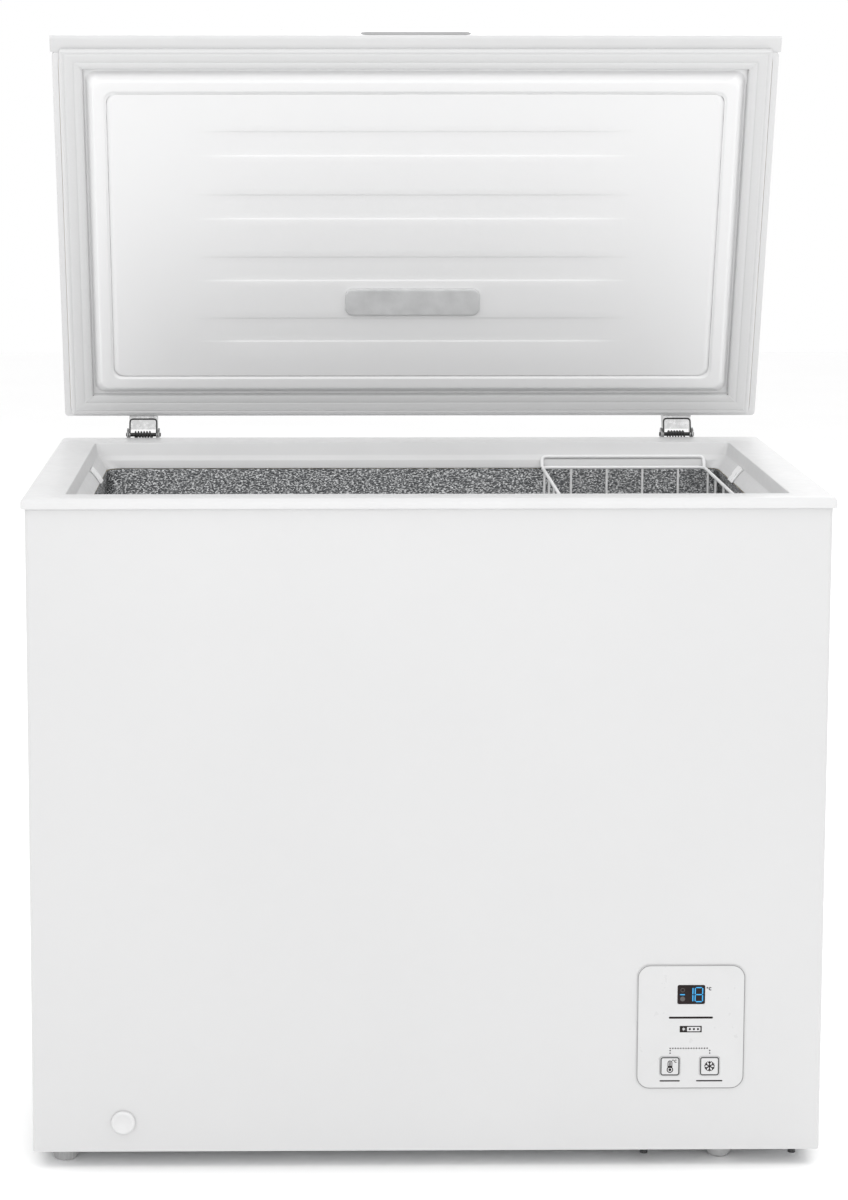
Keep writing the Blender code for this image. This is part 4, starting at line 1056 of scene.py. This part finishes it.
def make_lid_liner():
    """Formed inner panel: flange, raised plug, sunken field with shallow bands."""

    def row(inset, rise, radius=FIELD_CORNER):
        return (PLUG_X - inset, PLUG_FRONT + inset, PLUG_REAR - inset, rise, radius)

    edge = (LID_X - 0.0078, TRIM_REAR + GAP + 0.0078, LID_REAR - 0.0078)
    section = [
        row(0.0262, -0.0014),
        row(0.0120, -0.0027),
        row(0.0012, LID_UNDER + LID_WALL),
        (*edge, LID_UNDER + LID_WALL, 0.004),
        (*edge, LID_UNDER, 0.004),
        row(0.0, LID_UNDER),
        row(0.0090, -0.0035),
        row(0.0115, -0.0040),
        row(0.0225, -0.0040),
        row(0.0246, FIELD_RISE),
        row(0.0262, FIELD_RISE),
    ]
    rows = soften(section, 0.0014, 3)
    work = bmesh.new()
    made = [[work.verts.new(point) for point in ring(*values, steps=8)] for values in rows]
    for a, b in zip(made, made[1:]):
        for i in range(len(a)):
            j = (i + 1) % len(a)
            work.faces.new((a[i], a[j], b[j], b[i]))
    work.faces.new(made[0])
    border = add_object("lid_liner_border", work, 50)
    dress(hang(border), LINER_WHITE, "lid", ["lid_liner"])
    work = bmesh.new()
    inset = 0.0255
    grid = []
    for line in field_rows(PLUG_X - inset, PLUG_FRONT + inset, PLUG_REAR - inset, FIELD_CORNER):
        places = [(x, y, rim(FIELD_RISE) + band_sink(x, y)) for x, y in line]
        grid.append([work.verts.new(place) for place in places])
    for a, b in zip(grid, grid[1:]):
        for i in range(len(a) - 1):
            work.faces.new((a[i], a[i + 1], b[i + 1], b[i]))
    panel = add_object("lid_liner_field", work, 60)
    sheet = panel.modifiers.new("sheet", "SOLIDIFY")
    sheet.thickness = 0.0008
    sheet.offset = 1 if panel.data.polygons[0].normal.z > 0 else -1
    dress(hang(panel), LINER_WHITE, "lid")


def gasket_sides(inset):
    """Half width, front and rear depth of the gasket's loop this far in from its outer edge."""
    share = inset / GASKET_WIDTH
    front = GASKET_FRONT + GASKET_FRONT_WIDTH * share
    return GASKET_X - inset, front, GASKET_REAR - GASKET_REAR_WIDTH * share


def make_gasket():
    """Magnetic seal: outer lip, flat magnet strip and soft inner bellows, mitred at the corners."""
    top = LID_UNDER - GAP
    profile = [  # distance in from the outer edge and height
        (0.0, top), (0.0, 0.0028), (0.0007, 0.0014), (0.0022, 0.0007), (0.0048, 0.0007),
        (0.0053, 0.0010), (0.0058, 0.0007), (0.0076, 0.0004), (0.0150, 0.0004),
        (0.0166, 0.0007), (0.0172, 0.0011), (0.0178, 0.0008), (0.0226, 0.0008),
        (0.0240, 0.0011), (0.0262, 0.0012), (0.0274, 0.0022), (GASKET_WIDTH, 0.0046),
        (GASKET_WIDTH, top),
    ]
    loops = [ring(*gasket_sides(inset), rise, 0.0012, steps=2) for inset, rise in profile]
    seal = loft("magnetic_gasket", loops, closed=True, smooth=60)
    dress(hang(seal), SEAL_GREY, "lid", ["lid_gasket"])
    (outer_x, *outer_ends), (inner_x, *inner_ends) = gasket_sides(0.0012), gasket_sides(0.0268)
    welds, corner_shade_marks = [], []
    for side in (-1, 1):
        for outer, inner in zip(outer_ends, inner_ends):
            rise = rim(0.0010)
            start, end = (side * outer_x, depth(outer), rise), (side * inner_x, depth(inner), rise)
            welds.append([start, end])
        # Short dark marks at the inner corners of the seal, painted as the shade there.
        for end in (GASKET_FRONT + 0.0246, GASKET_REAR - 0.0258):
            x, y = side * (GASKET_X - GASKET_WIDTH + 0.0004), depth(end)
            corner_shade_marks.append([(x - 0.0012, y, rim(0.0032)), (x + 0.0012, y, rim(0.0032))])
    weld = wires("gasket_corner_welds", welds, 0.0006, 2)
    dress(hang(weld), SEAL_GREY, "lid")
    corner_shade = wires("gasket_corner_painted_shade", corner_shade_marks, 0.0009, 2)
    dress(hang(corner_shade), SHADOW_INK, "lid")


def make_lamp():
    half_x, half_y = LAMP_SIZE[0] / 2, LAMP_SIZE[1] / 2
    section = [  # inset and height
        (0.0, -0.0028), (0.0, -0.0052), (0.0004, -0.0058), (0.0012, -0.0062), (0.0035, -0.0062),
    ]
    loops = []
    for inset, rise in section:
        front, rear = LAMP_DEPTH - half_y + inset, LAMP_DEPTH + half_y - inset
        loops.append(ring(half_x - inset, front, rear, rise, LAMP_CORNER - inset))
    lens = loft("lamp_cover", loops)
    dress(hang(lens), LENS, "lid", ["lamp_lens"])


# Hinges


def make_hinge_shade_lines():
    """Painted shade on each hinge arm: a dark line round the web, between the lid and the pin, and
    one across its lower end.
    """
    low, high = Vector(SHADE_LINE_LOW), Vector(SHADE_LINE_HIGH)
    along = (high - low).normalized()
    start, reach = 0.0015, (high - low).length - 0.0030
    for side in ("left", "right"):
        corner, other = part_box(f"hinge_arm_{side}")
        middle = (corner.x + other.x) / 2
        half = (other.x - corner.x) / 2 - 0.0010
        path = [(-half, start), (-half, reach), (half, reach), (half, start)]
        points = []
        for x, s in soften(path, 0.0045, 5):
            place = low + along * s
            points.append((middle + x, depth(place.x), rim(place.y)))
        # Dark steel line standing for the shade along the arm's edges.
        shade_line = wires(f"hinge_bead_{side}", [points], 0.0010, 2)
        dress(hang(shade_line), DARK_STEEL, "lid")
        # A dark line across the arm's lower end, painted as shade.
        points = [(middle + x, depth(FOLD_DEPTH), rim(low.y)) for x in (-half, half)]
        fold_shade = wires(f"hinge_fold_{side}", [points], 0.0008, 2)
        dress(hang(fold_shade), DARK_STEEL, "lid")


# Basket


def make_basket():
    """Wire basket that hangs on the top frame's ledges by its long top wire."""
    x0, x1 = BASKET_X
    wire, rail = BASKET_WIRE, BASKET_RAIL
    top, second, bottom = BASKET_TOP, BASKET_SECOND, BASKET_BOTTOM
    front, rear = BASKET_BODY[0] + wire, BASKET_BODY[1] - wire
    rail_front = front - 0.001
    left, right = x0 + rail, x1 - rail

    def level(inset, start, end, rise):
        path = rounded(x0 + inset, x1 - inset, depth(start), depth(end), 0.010, 6)
        points = [(x, y, rim(rise)) for x, y in path]
        return points + points[:1]

    def bent(points, radius=0.008):
        path = soften([(x, depth(v), rim(rise)) for x, v, rise in points], radius, 4)
        return [tuple(point) for point in path]

    rails = [level(rail, rail_front, rear, second)]
    hooks = (BASKET_HOOKS[0] + rail, BASKET_HOOKS[1] - rail)
    for hook, body in zip(hooks, (rail_front, rear)):
        corners = [(left, body, second), (left, hook, top), (right, hook, top)]
        rails.append(bent([*corners, (right, body, second)], 0.006))
    hoops = [level(wire, front, rear, rise) for rise in BASKET_HOOPS]
    hoops.append(level(wire + 0.001, front + 0.001, rear - 0.001, bottom + 0.0030))
    first = x0 + 0.0390
    for x in [first + BASKET_PITCH * i for i in range(4)]:
        ends = (front, second), (front, bottom), (rear, bottom), (rear, second)
        hoops.append(bent([(x, v, rise) for v, rise in ends]))
    count, floor = 6, bottom + 0.0028
    for i in range(count):
        v = front + (rear - front) * (i + 0.5) / count
        ends = (left, second), (left, floor), (right, floor), (right, second)
        hoops.append(bent([(x, v, rise) for x, rise in ends]))
    basket_rails = wires("basket_rails", rails, rail)
    dress(basket_rails, COATED_WIRE, "basket", ["basket"])
    dress(wires("basket_wires", hoops, wire), COATED_WIRE, "basket")


# Stage


def make_stage():
    far = FLOOR_HALF
    square = [(-far, -far), (far, -far), (far, far), (-far, far)]
    floor = loft("floor", [[(x, y, z) for x, y in square] for z in (-FLOOR_SHEET, 0.0)])
    look = Look("pale_floor", (0.98, 0.98, 0.98), 0.7)
    look.tint(look.noise(3, 2), (0.975, 0.975, 0.975), (0.985, 0.985, 0.985))
    look.bump(look.noise(200, 2), 0.0002, 0.1)
    dress(floor, look.material)
    world = bpy.data.worlds.new("studio")
    world.use_nodes = True
    world.node_tree.nodes["Background"].inputs["Color"].default_value = (1.0, 1.0, 1.0, 1.0)
    world.node_tree.nodes["Background"].inputs["Strength"].default_value = 1.0
    bpy.context.scene.world = world
    bpy.context.scene.view_settings.view_transform = "Standard"
    for name, place, size, power in LIGHTS:
        light = bpy.data.lights.new(name, "AREA")
        light.size = size
        light.energy = power
        obj = bpy.data.objects.new(name, light)
        obj.location = place
        aim = Vector(LIGHT_AIM) - Vector(place)
        obj.rotation_euler = aim.to_track_quat("-Z", "Y").to_euler()
        bpy.context.scene.collection.objects.link(obj)


def make_camera():
    camera = bpy.data.cameras.new("camera")
    camera.lens = LENS_LENGTH
    camera.shift_x, camera.shift_y = LENS_SHIFT
    obj = bpy.data.objects.new("camera", camera)
    obj.location = (CAMERA_X, depth(CAMERA_DEPTH), CAMERA_Z)
    obj.rotation_euler = (radians(90 - CAMERA_TILT), 0, radians(-CAMERA_TURN))
    bpy.context.scene.collection.objects.link(obj)
    bpy.context.scene.camera = obj


dress_frame_nodes()
make_top_frame()
make_liner()
make_drain_cap()
make_feet()
make_panel()
make_readout()
make_panel_marks()
make_buttons()
make_lid_shell()
make_lid_trim()
make_lid_liner()
make_gasket()
make_lamp()
make_hinge_shade_lines()
make_basket()
make_stage()
make_camera()
